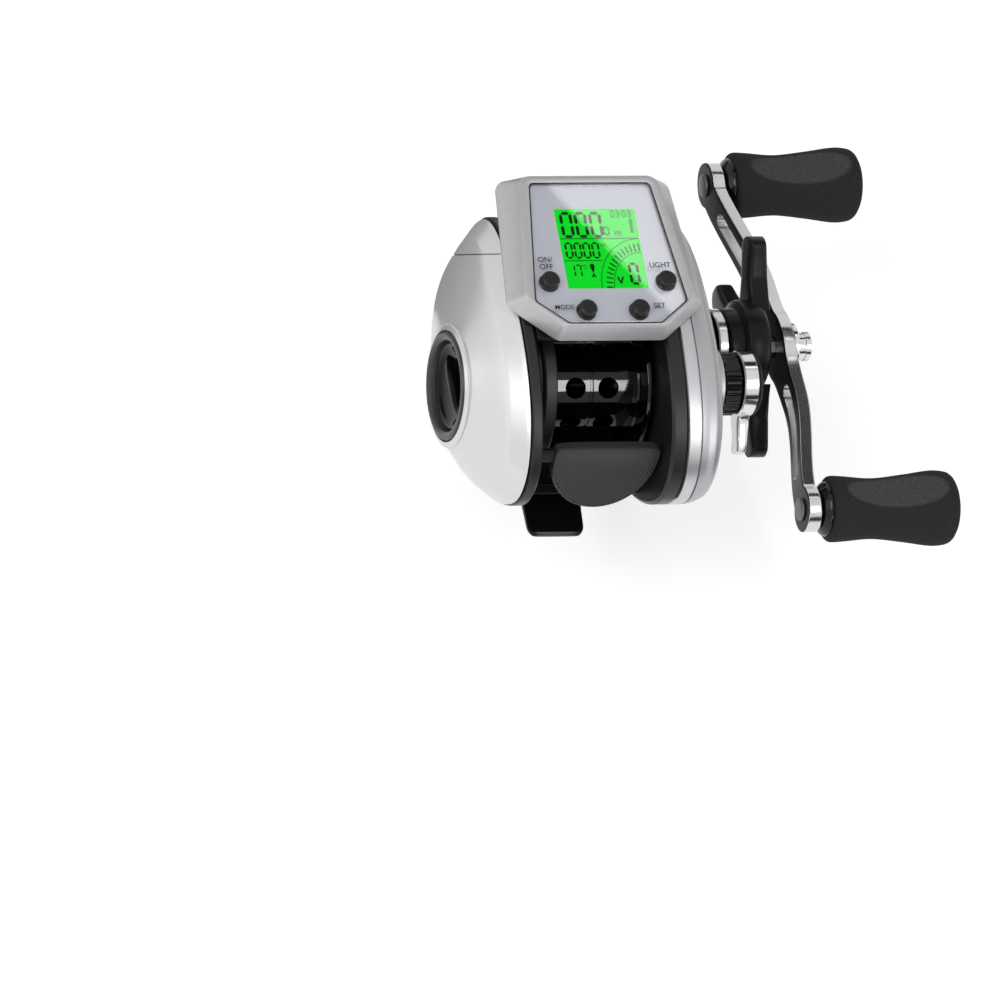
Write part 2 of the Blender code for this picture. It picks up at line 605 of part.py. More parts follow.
def make_palm_side():
    """Palm side cover, its front cap behind a slanted seam, and the brake parts under it."""
    opening = BEZEL_RADIUS + SEAT_GAP
    stations = ((0.15, 0.88), (0.3, 0.72), (0.5, 0.5), (0.75, 0.25), (1.0, 0.0))
    outer = palm_dome_rings(1.0, PALM_END_X, opening, 0.0, stations)
    inner = palm_dome_rings(CAVITY_SHARE, PALM_END_X + COVER_WALL, opening, COVER_WALL, stations[1::3])
    tilt = math.radians(SEAM_TILT)
    forward = Vector((0, math.cos(tilt), math.sin(tilt)))
    down = Vector((0, math.sin(tilt), -math.cos(tilt)))
    for name, side in (("palm_cover", -1), ("front_cap", 1)):
        cover = add(name, loft(outer + inner[::-1], closed=True), "pearl silver")
        edge = Vector((0, 0, SPOOL_AXIS_HEIGHT)) + forward * (SEAM_OFFSET + side * SEAT_GAP / 2)
        span = BODY_FRONT + BODY_REAR
        near_x = PALM_END_X - OVERRUN
        far_x = PALM_START_X + OVERRUN
        beyond = forward * side * span
        corners = [edge + down * span, edge - down * span, edge - down * span + beyond, edge + down * span + beyond]
        rings = [[(x, corner.y, corner.z) for corner in corners] for x in (near_x, far_x)]
        combine(cover, loft(rings), "INTERSECT", name + " side of the seam")

    bezel = [
        (PALM_END_X - BEZEL_PROUD, BEZEL_RADIUS - BEZEL_PROUD),
        (PALM_END_X, BEZEL_RADIUS),
        (PALM_END_X + BEZEL_DEPTH, BEZEL_RADIUS),
        (PALM_END_X + BEZEL_DEPTH, BEZEL_BORE_RADIUS),
        (PALM_END_X, BEZEL_BORE_RADIUS),
        (PALM_END_X - BEZEL_PROUD, BEZEL_BORE_RADIUS + BEZEL_PROUD),
    ]
    add("dial_bezel", turned(bezel, sides=FINE_SIDES, closed=True), "gloss black")

    hub_end = LEFT_PLATE_OUTER_X - BRAKE_HUB_LENGTH
    dial = [
        (DIAL_FACE_X, DIAL_RADIUS - BEZEL_PROUD),
        (DIAL_FACE_X + BEZEL_PROUD, DIAL_RADIUS),
        (DIAL_FACE_X + DIAL_THICKNESS, DIAL_RADIUS),
        (DIAL_FACE_X + DIAL_THICKNESS, DIAL_STEM_RADIUS),
        (hub_end - SEAT_GAP, DIAL_STEM_RADIUS),
    ]
    knob = add("brake_dial", turned(dial, sides=FINE_SIDES), "gloss black", SPOOL_PIVOT)
    grip_reach = DIAL_RADIUS * DIAL_GRIP_LENGTH_SHARE
    grip_low = (DIAL_FACE_X - DIAL_GRIP_HEIGHT, -grip_reach, -DIAL_GRIP_HALF)
    grip_high = (DIAL_FACE_X + DIAL_THICKNESS / 2, grip_reach, DIAL_GRIP_HALF)
    grip = block(grip_low, grip_high)
    combine(knob, grip, "UNION", "dial grip")

    disc_x = GUARD_START_X - SPOOL_FLANGE_THICKNESS
    disc_outer = GUARD_BORE - SEAT_GAP
    bore = BEARING_OUTER_RADIUS + SEAT_GAP
    plate_x = LEFT_PLATE_OUTER_X + SEAT_GAP
    housing = [
        (hub_end, BRAKE_HUB_RADIUS),
        (plate_x, BRAKE_HUB_RADIUS),
        (plate_x, disc_outer),
        (plate_x + BRAKE_DISC_THICKNESS, disc_outer),
        (plate_x + BRAKE_DISC_THICKNESS, bore),
        (hub_end + SPOOL_FLANGE_THICKNESS, bore),
        (hub_end + SPOOL_FLANGE_THICKNESS, DIAL_STEM_RADIUS),
        (hub_end, DIAL_STEM_RADIUS),
    ]
    add("brake_housing", turned(housing, sides=ROUND_SIDES, closed=True), "black moulding")
    magnet_x = plate_x + BRAKE_DISC_THICKNESS + SEAT_GAP
    magnet_end = min(magnet_x + MAGNET_THICKNESS, disc_x + SPOOL_FLANGE_THICKNESS)
    add("magnet_ring", tube(magnet_x, magnet_end, MAGNET_OUTER_RADIUS, MAGNET_INNER_RADIUS), "polished steel")
    return hub_end + SPOOL_FLANGE_THICKNESS + SEAT_GAP


def make_bearing(name, start_x):
    """Ball bearing as one ring with a raised inner and outer race on each face."""
    inner = SPOOL_SHAFT_RADIUS + SEAT_GAP
    outer = BEARING_OUTER_RADIUS
    race = (outer - inner) / 4
    end_x = start_x + BEARING_WIDTH
    profile = [
        (start_x, outer),
        (end_x, outer),
        (end_x, outer - race),
        (end_x - BEARING_LIP, outer - race),
        (end_x - BEARING_LIP, inner + race),
        (end_x, inner + race),
        (end_x, inner),
        (start_x, inner),
        (start_x, inner + race),
        (start_x + BEARING_LIP, inner + race),
        (start_x + BEARING_LIP, outer - race),
        (start_x, outer - race),
    ]
    add(name, turned(profile, sides=SMALL_SIDES, closed=True), "polished steel")


def make_spool():
    """Spool: flanged drum with drilled wall, web and hub, turned as one profile and then drilled."""
    side = SPOOL_HALF_WIDTH
    flange = side - SPOOL_FLANGE_THICKNESS
    inner = DRUM_RADIUS - DRUM_WALL
    bore = SPOOL_SHAFT_RADIUS + SEAT_GAP
    web = SPOOL_WEB / 2
    half = [
        (flange, DRUM_RADIUS),
        (flange, SPOOL_FLANGE_RADIUS - SPOOL_LIP),
        (flange + SPOOL_LIP / 2, SPOOL_FLANGE_RADIUS),
        (side, SPOOL_FLANGE_RADIUS),
        (side, inner + SPOOL_LIP),
        (side - SPOOL_LIP, inner),
        (web, inner),
        (web, SPOOL_HUB_RADIUS),
        (SPOOL_HUB_HALF, SPOOL_HUB_RADIUS),
        (SPOOL_HUB_HALF, bore),
    ]
    profile = half + [(-x, radius) for x, radius in half[::-1]]
    spool = add("spool", turned(profile, sides=FINE_SIDES, closed=True), "gloss black", SPOOL_PIVOT)
    for row in (-1, 1):
        for hole in range(DRUM_HOLES_AROUND):
            turn = 2 * math.pi * hole / DRUM_HOLES_AROUND + math.radians(DRUM_HOLE_TURN)
            drill = bmesh.new()
            bmesh.ops.create_cone(
                drill, cap_ends=True, segments=DRUM_HOLE_SIDES, radius1=DRUM_HOLE_RADIUS,
                radius2=DRUM_HOLE_RADIUS, depth=DRUM_WALL + 2 * OVERRUN,
            )
            middle = DRUM_RADIUS - DRUM_WALL / 2
            bmesh.ops.translate(drill, verts=drill.verts, vec=(row * DRUM_HOLE_SPACING / 2, 0, middle))
            spin = Matrix.Rotation(turn, 3, "X")
            bmesh.ops.rotate(drill, verts=drill.verts, cent=NOWHERE, matrix=spin)
            bmesh.ops.translate(drill, verts=drill.verts, vec=SPOOL_PIVOT)
            label = "drum hole " + str(row) + " " + str(hole)
            combine(spool, drill, "DIFFERENCE", label)
    shaft = [(SPOOL_SHAFT_LEFT_X, SPOOL_SHAFT_RADIUS), (SPOOL_SHAFT_RIGHT_X, SPOOL_SHAFT_RADIUS)]
    add("spool_shaft", turned(shaft, sides=SMALL_SIDES), "polished steel", SPOOL_PIVOT)


def gear_outline(teeth, module, y, z, phase):
    """Straight-sided teeth on a circle: four points a tooth, with room left between meshing flanks."""
    pitch_radius = teeth * module / 2
    tip = pitch_radius + TOOTH_TIP_SHARE * module
    root = pitch_radius - TOOTH_ROOT_SHARE * module
    pitch = 2 * math.pi / teeth
    tip_half = pitch * TOOTH_TIP_WIDTH_SHARE / 2
    root_half = pitch * TOOTH_ROOT_WIDTH_SHARE / 2
    points = []
    for tooth in range(teeth):
        middle = phase + tooth * pitch
        for offset, radius in ((-root_half, root), (-tip_half, tip), (tip_half, tip), (root_half, root)):
            turn = middle + offset
            points.append((y + radius * math.cos(turn), z + radius * math.sin(turn)))
    return points


def make_gear(name, teeth, module, bore, start_x, width, place, phase, finish):
    """Gear on an axis along x: the tooth outline extruded, then bored through."""
    y, z = place
    outline = gear_outline(teeth, module, y, z, phase)
    pivot = on_axis(y, z)
    gear = add(name, prism(outline, start_x, start_x + width), finish, pivot)
    bore_span = [(start_x - OVERRUN, bore), (start_x + width + OVERRUN, bore)]
    combine(gear, turned(bore_span, y, z, SMALL_SIDES), "DIFFERENCE", name + " bore")


def make_gear_train():
    """Drive gear and pinion in mesh, the lay gears for the worm, and the drag stack beside the drive gear."""
    shaft_bore = SHAFT_RADIUS + SEAT_GAP
    towards_spool = math.atan2(-SHAFT_Z, -SHAFT_Y)
    shaft_place = (SHAFT_Y, SHAFT_Z)
    make_gear(
        "drive_gear", DRIVE_TEETH, GEAR_MODULE, shaft_bore, DRIVE_GEAR_X, DRIVE_GEAR_WIDTH, shaft_place,
        towards_spool, "brass",
    )
    gap_to_shaft = math.atan2(SHAFT_Z, SHAFT_Y) + math.pi / PINION_TEETH
    make_gear(
        "pinion_gear", PINION_TEETH, GEAR_MODULE, SPOOL_SHAFT_RADIUS + SEAT_GAP,
        DRIVE_GEAR_X - PINION_OVERLAP, DRIVE_GEAR_WIDTH + 2 * PINION_OVERLAP, (0, 0), gap_to_shaft, "brass",
    )
    make_gear(
        "lay_drive_gear", LAY_TEETH, LAY_MODULE, shaft_bore, LAY_GEAR_X, LAY_GEAR_WIDTH, shaft_place,
        0.0, "black moulding",
    )
    make_gear(
        "worm_gear", LAY_TEETH, LAY_MODULE, WORM_JOURNAL_RADIUS + SEAT_GAP, LAY_GEAR_X, LAY_GEAR_WIDTH,
        (WORM_FORWARD, -WORM_DROP), math.pi + math.pi / LAY_TEETH, "black moulding",
    )
    washer_end = DRAG_WASHER_X + DRAG_WASHER_THICKNESS
    washer = tube(DRAG_WASHER_X, washer_end, DRAG_WASHER_RADIUS, shaft_bore, SHAFT_Y, SHAFT_Z)
    add("drag_washer", washer, "carbon", SHAFT_PIVOT)
    plate = tube(DRAG_PLATE_X, DRAG_STACK_END_X, DRAG_PLATE_RADIUS, shaft_bore, SHAFT_Y, SHAFT_Z)
    add("drag_plate", plate, "polished steel", SHAFT_PIVOT)


def make_gear_cover():
    """Gear side cover: straight band, domed face, a boss for the cast control and one for the drive shaft."""
    outer_shares = (
        (0.0, 1.0), (0.26, 1.0), (0.46, 0.98), (0.63, 0.925), (0.78, 0.79), (0.88, 0.58), (0.95, 0.32), (1.0, 0.12)
    )
    face_radius = TENSION_BOSS_RADIUS + OVERRUN
    outer = []
    for depth, reach in outer_shares:
        x = GEAR_COVER_X + GEAR_COVER_DEPTH * depth
        outer.append(ring_at(x, body_outline(1.0, face_radius, 1 - reach)))
    outer.append(ring_at(TENSION_BOSS_X - OVERRUN, circle(TENSION_BOSS_RADIUS, 0, 0, OUTLINE_STEPS)))
    outer.append(ring_at(TENSION_BOSS_X, circle(TENSION_BOSS_RADIUS - OVERRUN, 0, 0, OUTLINE_STEPS)))
    inner = []
    for depth, share in ((0.0, CAVITY_SHARE), (0.41, CAVITY_SHARE), (0.54, 0.88), (0.76, 0.77)):
        inner.append(ring_at(GEAR_COVER_X + GEAR_COVER_DEPTH * depth, body_outline(share)))
    bore = circle(TENSION_STEM_RADIUS + SEAT_GAP, 0, 0, OUTLINE_STEPS)
    inner.append(ring_at(GEAR_COVER_X + GEAR_COVER_DEPTH - COVER_WALL, bore))
    inner.append(ring_at(TENSION_BOSS_X, bore))
    cover = add("gear_cover", loft(outer + inner[::-1], closed=True), "pearl silver")
    boss_x = DRAG_STACK_END_X + SEAT_GAP
    boss = turned([(boss_x, SHAFT_BOSS_RADIUS), (SHAFT_BOSS_X, SHAFT_BOSS_RADIUS)], SHAFT_Y, SHAFT_Z)
    combine(cover, boss, "UNION", "shaft boss")
    hole = ONE_WAY_RADIUS + SEAT_GAP
    bearing_hole = turned([(boss_x - OVERRUN, hole), (SHAFT_BOSS_X + OVERRUN, hole)], SHAFT_Y, SHAFT_Z)
    combine(cover, bearing_hole, "DIFFERENCE", "one way bearing bore")
    start = SHAFT_BOSS_X - ONE_WAY_WIDTH
    ring = tube(start, SHAFT_BOSS_X, ONE_WAY_RADIUS, SHAFT_RADIUS + SEAT_GAP, SHAFT_Y, SHAFT_Z)
    add("one_way_bearing", ring, "polished steel")
    collar_profile = [
        (COLLAR_START_X, COLLAR_RADIUS),
        (COLLAR_END_X - OVERRUN, COLLAR_RADIUS),
        (COLLAR_END_X, COLLAR_RADIUS - OVERRUN),
        (COLLAR_END_X, SHAFT_RADIUS + SEAT_GAP),
        (COLLAR_START_X, SHAFT_RADIUS + SEAT_GAP),
    ]
    collar = turned(collar_profile, SHAFT_Y, SHAFT_Z, ROUND_SIDES, closed=True)
    add("drag_collar", collar, "black anodised")


def make_cast_control():
    """Cast control: cap on the boss, polished ring with its lever, and a black end cap."""
    start = TENSION_BOSS_X + SEAT_GAP
    cavity = SPOOL_SHAFT_RADIUS + SEAT_GAP
    stem_x = GEAR_COVER_X + GEAR_COVER_DEPTH + SEAT_GAP
    cap = [
        (SPOOL_SHAFT_RIGHT_X + SEAT_GAP, cavity),
        (stem_x, cavity),
        (stem_x, TENSION_STEM_RADIUS),
        (start, TENSION_STEM_RADIUS),
        (start, TENSION_CAP_RADIUS - TENSION_CAP_EDGE),
        (start + TENSION_CAP_EDGE, TENSION_CAP_RADIUS),
        (TENSION_CAP_END_X, TENSION_CAP_RADIUS),
    ]
    add("tension_cap", turned(cap, sides=ROUND_SIDES), "black anodised", SPOOL_PIVOT)

    lever_x = TENSION_CAP_END_X + SEAT_GAP
    lever_end = lever_x + LEVER_WIDTH
    ring = turned([(lever_x, LEVER_RADIUS), (lever_end, LEVER_RADIUS)], sides=FINE_SIDES)
    lever = add("cast_control_lever", ring, "polished steel", SPOOL_PIVOT)
    turn = math.radians(LEVER_ANGLE)
    along = Vector((math.cos(turn), math.sin(turn)))
    across = Vector((-math.sin(turn), math.cos(turn)))
    stations = ((0.3, 1.8), (0.55, 1.15), (0.8, 0.95), (1.0, 1.1))
    outline = [along * LEVER_REACH * far + across * LEVER_HALF_WIDTH * wide for far, wide in stations]
    outline += [along * LEVER_REACH * far - across * LEVER_HALF_WIDTH * wide for far, wide in stations[::-1]]
    tab = prism([tuple(point) for point in outline], lever_x + SEAT_GAP, lever_end - SEAT_GAP)
    combine(lever, tab, "UNION", "lever tab")

    end_x = lever_end + SEAT_GAP
    end = [
        (end_x, TENSION_END_RADIUS),
        (end_x + TENSION_END_THICKNESS / 2, TENSION_END_RADIUS),
        (end_x + TENSION_END_THICKNESS, TENSION_END_RADIUS - TENSION_END_THICKNESS),
    ]
    add("tension_end_cap", turned(end), "black anodised", SPOOL_PIVOT)


def make_drive_shaft():
    """Drive shaft, click plate and the star wheel with its finger arms."""
    shaft = [
        (SHAFT_START_X, SHAFT_RADIUS),
        (SHAFT_SHOULDER_X, SHAFT_RADIUS),
        (SHAFT_SHOULDER_X, SHAFT_NOSE_RADIUS),
        (SHAFT_END_X, SHAFT_NOSE_RADIUS),
    ]
    add("drive_shaft", turned(shaft, SHAFT_Y, SHAFT_Z, SMALL_SIDES), "polished steel", SHAFT_PIVOT)
    click_x = COLLAR_END_X + SEAT_GAP
    click_end = click_x + CLICK_PLATE_THICKNESS
    click = tube(click_x, click_end, CLICK_PLATE_RADIUS, SHAFT_RADIUS + SEAT_GAP, SHAFT_Y, SHAFT_Z)
    add("click_plate", click, "polished steel", SHAFT_PIVOT)

    bore = SHAFT_NOSE_RADIUS + SEAT_GAP
    hub = [
        (STAR_START_X, STAR_NECK_RADIUS),
        (STAR_STEP_X, STAR_NECK_RADIUS),
        (STAR_STEP_X, STAR_HUB_RADIUS),
        (STAR_END_X - OVERRUN, STAR_HUB_RADIUS),
        (STAR_END_X, STAR_HUB_RADIUS - OVERRUN),
        (STAR_END_X, bore),
        (STAR_START_X, bore),
    ]
    star = add("star_drag", turned(hub, SHAFT_Y, SHAFT_Z, ROUND_SIDES, closed=True), "black anodised", SHAFT_PIVOT)
    hub_centre = Vector((SHAFT_Y, SHAFT_Z))
    root = STAR_HUB_RADIUS * 0.8
    reach = STAR_ARM_RADIUS - root
    shares = ((0.0, 1.0, 1.0), (0.25, 0.0, 0.55), (0.55, 0.0, 0.0), (0.85, 1.0, 0.0), (1.0, 0.7, 0.0))
    for arm, degrees in enumerate(STAR_ARM_ANGLES):
        turn = math.radians(degrees)
        along = Vector((math.cos(turn), math.sin(turn)))
        across = Vector((-math.sin(turn), math.cos(turn)))
        left = []
        right = []
        for far, tip, foot in shares:
            wide = STAR_ARM_WAIST_HALF
            wide += (STAR_ARM_TIP_HALF - STAR_ARM_WAIST_HALF) * (tip if foot == 0 else 0)
            wide += (STAR_ARM_ROOT_HALF - STAR_ARM_WAIST_HALF) * foot
            centre = hub_centre + along * (root + reach * far)
            left.append(tuple(centre + across * wide))
            right.append(tuple(centre - across * wide))
        blade = prism(left + right[::-1], STAR_ARM_X, STAR_ARM_X + STAR_ARM_WIDTH)
        label = "star arm " + str(arm)
        combine(star, blade, "UNION", label)
    bore_span = [(STAR_START_X - OVERRUN, bore), (STAR_ARM_X + STAR_ARM_WIDTH + OVERRUN, bore)]
    drill = turned(bore_span, SHAFT_Y, SHAFT_Z)
    combine(star, drill, "DIFFERENCE", "star bore")


def crank_places():
    """Side-view places of the two knob pins."""
    turn = math.radians(CRANK_ANGLE)
    half = CRANK_LENGTH / 2
    forward = (SHAFT_Y + half * math.cos(turn), SHAFT_Z + half * math.sin(turn))
    rearward = (SHAFT_Y - half * math.cos(turn), SHAFT_Z - half * math.sin(turn))
    return forward, rearward


def make_crank():
    """Bowed crank: a bar lofted along its length, with round ends, windows and three bores."""
    turn = math.radians(CRANK_ANGLE)
    along = Vector((0, math.cos(turn), math.sin(turn)))
    across = Vector((0, -math.sin(turn), math.cos(turn)))
    half = CRANK_LENGTH / 2
    end = CRANK_END_RADIUS
    places = [0.0, CRANK_HUB_HALF * 0.55, CRANK_HUB_HALF, CRANK_WINDOW_START, half * 0.45, half * 0.68]
    widths = [CRANK_HUB_HALF, CRANK_HUB_HALF * 0.93, CRANK_HUB_HALF * 0.76, CRANK_ARM_HALF * 1.08]
    widths += [CRANK_ARM_HALF, CRANK_ARM_HALF * 0.95]
    for share in (-0.8, -0.4, 0.0, 0.4, 0.7, 0.9, 0.98):
        places.append(half + end * share)
        widths.append(max(end * math.sqrt(1 - share * share), CRANK_ARM_HALF * 0.9 if share < 0 else 0))
    stations = list(zip(places, widths))
    stations = [(-place, width) for place, width in stations[:0:-1]] + stations
    rings = []
    for place, width in stations:
        swing = min(max(abs(place) - CRANK_BOW_START, 0) / (half - CRANK_BOW_START), 1)
        ease = swing * swing * (3 - 2 * swing)
        x = CRANK_HUB_X - CRANK_DROP * ease
        centre = SHAFT_PIVOT + along * place
        rings.append([
            centre - across * width + Vector((x, 0, 0)),
            centre + across * width + Vector((x, 0, 0)),
            centre + across * width + Vector((x + CRANK_THICKNESS, 0, 0)),
            centre - across * width + Vector((x + CRANK_THICKNESS, 0, 0)),
        ])
    crank = add("crank_arm", loft(rings), "black anodised", SHAFT_PIVOT)
    low_x = CRANK_END_X - OVERRUN
    high_x = CRANK_HUB_X + CRANK_THICKNESS + OVERRUN
    for side in (-1, 1):
        window = []
        for centre, first in ((CRANK_WINDOW_START, 90), (CRANK_WINDOW_END, -90)):
            radius = CRANK_WINDOW_HALF
            middle = centre + radius if first == 90 else centre - radius
            for step in range(7):
                angle = math.radians(first + 30 * step)
                lengthwise = along * side * (middle + radius * math.cos(angle))
                window.append(SHAFT_PIVOT + lengthwise + across * radius * math.sin(angle))
        rings = [[(x, point.y, point.z) for point in window] for x in (low_x, high_x)]
        label = "crank window " + str(side)
        combine(crank, loft(rings), "DIFFERENCE", label)
    bores = [((SHAFT_Y, SHAFT_Z), SHAFT_NOSE_RADIUS + SEAT_GAP)]
    bores += [(place, PIN_BORE) for place in crank_places()]
    for number, (place, radius) in enumerate(bores):
        drill = turned([(low_x, radius), (high_x, radius)], place[0], place[1], SMALL_SIDES)
        label = "crank bore " + str(number)
        combine(crank, drill, "DIFFERENCE", label)

    seat = CRANK_HUB_X + CRANK_THICKNESS + SEAT_GAP
    barrel = seat + NUT_FLANGE_THICKNESS
    cap = seat + NUT_LENGTH - NUT_CAP_LENGTH
    bore = SHAFT_NOSE_RADIUS + SEAT_GAP / 2
    nut = [
        (SHAFT_END_X + SEAT_GAP, bore),
        (seat, bore),
        (seat, NUT_FLANGE_RADIUS),
        (barrel, NUT_FLANGE_RADIUS),
        (barrel, NUT_RADIUS + NUT_WALL / 2),
        (cap, NUT_RADIUS + NUT_WALL / 2),
        (cap, NUT_CAP_RADIUS),
        (seat + NUT_LENGTH, NUT_CAP_RADIUS),
    ]
    add("handle_nut", turned(nut, SHAFT_Y, SHAFT_Z, SMALL_SIDES), "polished steel", SHAFT_PIVOT)


def make_knobs():
    """Two knobs: a pin through the crank's end, a glossy collar and a waisted foam grip."""
    for name, (y, z) in zip(("front", "rear"), crank_places()):
        pivot = on_axis(y, z)
        head_x = CRANK_END_X - SEAT_GAP
        pin_end = GRIP_START_X + GRIP_LENGTH - GRIP_BLIND_WALL - SEAT_GAP
        pin = [
            (head_x - PIN_HEAD_HEIGHT, PIN_HEAD_RADIUS - SEAT_GAP),
            (head_x, PIN_HEAD_RADIUS),
            (head_x, PIN_RADIUS),
            (pin_end, PIN_RADIUS),
        ]
        add(name + "_knob_pin", turned(pin, y, z, SMALL_SIDES), "polished steel", pivot)
        collar = [
            (KNOB_START_X, KNOB_COLLAR_SMALL_RADIUS),
            (GRIP_START_X - SEAT_GAP, KNOB_COLLAR_LARGE_RADIUS),
            (GRIP_START_X - SEAT_GAP, PIN_BORE),
            (KNOB_START_X, PIN_BORE),
        ]
        ring = turned(collar, y, z, ROUND_SIDES, closed=True)
        add(name + "_knob_collar", ring, "gloss black", pivot)
        start = GRIP_START_X
        end = start + GRIP_LENGTH
        grip = [
            (end - GRIP_BLIND_WALL, PIN_BORE),
            (start, PIN_BORE),
            (start, GRIP_INNER_END_RADIUS - GRIP_EDGE),
            (start + GRIP_EDGE / 2, GRIP_INNER_END_RADIUS - GRIP_EDGE / 4),
        ]
        stations = 5
        for step in range(stations + 1):
            share = GRIP_EDGE / GRIP_LENGTH + (0.97 - GRIP_EDGE / GRIP_LENGTH) * step / stations
            grip.append((start + GRIP_LENGTH * share, grip_radius(share)))
        grip.append((end, GRIP_OUTER_END_RADIUS - 1.5 * GRIP_EDGE))
        add(name + "_knob_grip", turned(grip, y, z, ROUND_SIDES), "foam", pivot)


def grip_radius(share):
    """Radius along the grip: falls to the waist, then swells to the flare, on eased curves."""
    if share < GRIP_WAIST_SHARE:
        part = share / GRIP_WAIST_SHARE
        low, high = GRIP_INNER_END_RADIUS, GRIP_WAIST_RADIUS
    else:
        part = min((share - GRIP_WAIST_SHARE) / (GRIP_FLARE_SHARE - GRIP_WAIST_SHARE), 1)
        low, high = GRIP_WAIST_RADIUS, GRIP_OUTER_END_RADIUS
    ease = part * part * (3 - 2 * part)
    radius = low + (high - low) * ease
    if share > GRIP_FLARE_SHARE:
        fall = (share - GRIP_FLARE_SHARE) / (1 - GRIP_FLARE_SHARE)
        radius -= GRIP_EDGE * fall * fall
    return radius


def make_level_wind():
    """Worm whose two crossing grooves carry the line guide, the guide itself, its eye and its rod."""
    rings = []
    length = 2 * WORM_GROOVE_HALF_LENGTH
    journal = circle(WORM_JOURNAL_RADIUS, WORM_FORWARD, -WORM_DROP, WORM_STEPS_AROUND)
    barrel_start = -WORM_GROOVE_HALF_LENGTH - WORM_RADIUS / 2
    rings.append(ring_at(LEFT_PLATE_OUTER_X + SEAT_GAP, journal))
    rings.append(ring_at(barrel_start, journal))
    rings.append(ring_at(barrel_start, circle(WORM_RADIUS, WORM_FORWARD, -WORM_DROP, WORM_STEPS_AROUND)))
    for along in range(WORM_STEPS_ALONG + 1):
        x = -WORM_GROOVE_HALF_LENGTH + length * along / WORM_STEPS_ALONG
        ring = []
        for step in range(WORM_STEPS_AROUND):
            turn = step / WORM_STEPS_AROUND
            advance = WORM_TURNS * along / WORM_STEPS_ALONG
            depth = max(groove_share(advance - turn), groove_share(advance + turn))
            radius = WORM_RADIUS - WORM_GROOVE_DEPTH * depth
            angle = 2 * math.pi * turn
            ring.append((WORM_FORWARD + radius * math.cos(angle), -WORM_DROP + radius * math.sin(angle)))
        rings.append(ring_at(x, ring))
    rings.append(ring_at(-barrel_start, circle(WORM_RADIUS, WORM_FORWARD, -WORM_DROP, WORM_STEPS_AROUND)))
    rings.append(ring_at(-barrel_start, journal))
    rings.append(ring_at(LAY_GEAR_X + LAY_GEAR_WIDTH + SEAT_GAP, journal))
    add("level_wind_worm", loft(rings), "polished steel", WORM_PIVOT)

    rod = [(LEFT_PLATE_OUTER_X + SEAT_GAP, ROD_RADIUS), (RIGHT_PLATE_OUTER_X - SEAT_GAP, ROD_RADIUS)]
    add("guide_rod", turned(rod, WORM_FORWARD, ROD_RAISE, SMALL_SIDES), "polished steel")

    eye_outer = GUIDE_EYE_RADIUS + GUIDE_INSERT_WALL
    low_z = -WORM_DROP - WORM_RADIUS - SEAT_GAP - GUIDE_WALL
    high_z = ROD_RAISE + ROD_RADIUS + SEAT_GAP + GUIDE_WALL
    eye_z = (ROD_RAISE - ROD_RADIUS - WORM_DROP + WORM_RADIUS) / 2
    low = (-GUIDE_HALF_WIDTH - GUIDE_WALL, WORM_FORWARD - GUIDE_HALF_DEPTH, low_z)
    high = (GUIDE_HALF_WIDTH + GUIDE_WALL, WORM_FORWARD + GUIDE_HALF_DEPTH, high_z)
    guide = add("line_guide", block(low, high), "black moulding")
    reach = GUIDE_HALF_WIDTH + GUIDE_WALL + OVERRUN
    for label, radius, z in (("worm tunnel", WORM_RADIUS, -WORM_DROP), ("rod tunnel", ROD_RADIUS, ROD_RAISE)):
        hole = turned([(-reach, radius + SEAT_GAP), (reach, radius + SEAT_GAP)], WORM_FORWARD, z, SMALL_SIDES)
        combine(guide, hole, "DIFFERENCE", label)
    eye = along_y(eye_outer + SEAT_GAP, GUIDE_HALF_DEPTH + OVERRUN, eye_z)
    combine(guide, eye, "DIFFERENCE", "eye seat")
    insert = along_y(eye_outer, GUIDE_HALF_DEPTH, eye_z)
    ring = add("line_guide_eye", insert, "ceramic")
    combine(ring, along_y(GUIDE_EYE_RADIUS, GUIDE_HALF_DEPTH + OVERRUN, eye_z), "DIFFERENCE", "eye bore")


def groove_share(phase):
    """Depth of one groove, from 0 on the land to 1 at its floor, as a rounded trough once a turn."""
    away = abs(phase - round(phase))
    if away >= WORM_GROOVE_SHARE:
        return 0.0
    return 0.5 + 0.5 * math.cos(math.pi * away / WORM_GROOVE_SHARE)


def along_y(radius, half_depth, z):
    """Round bar along y through the line guide."""
    bm = bmesh.new()
    bmesh.ops.create_cone(
        bm, cap_ends=True, segments=SMALL_SIDES, radius1=radius, radius2=radius, depth=2 * half_depth
    )
    bmesh.ops.rotate(bm, verts=bm.verts, cent=NOWHERE, matrix=Matrix.Rotation(math.pi / 2, 3, "X"))
    bmesh.ops.translate(bm, verts=bm.verts, vec=(0, WORM_FORWARD, z + SPOOL_AXIS_HEIGHT))
    return bm


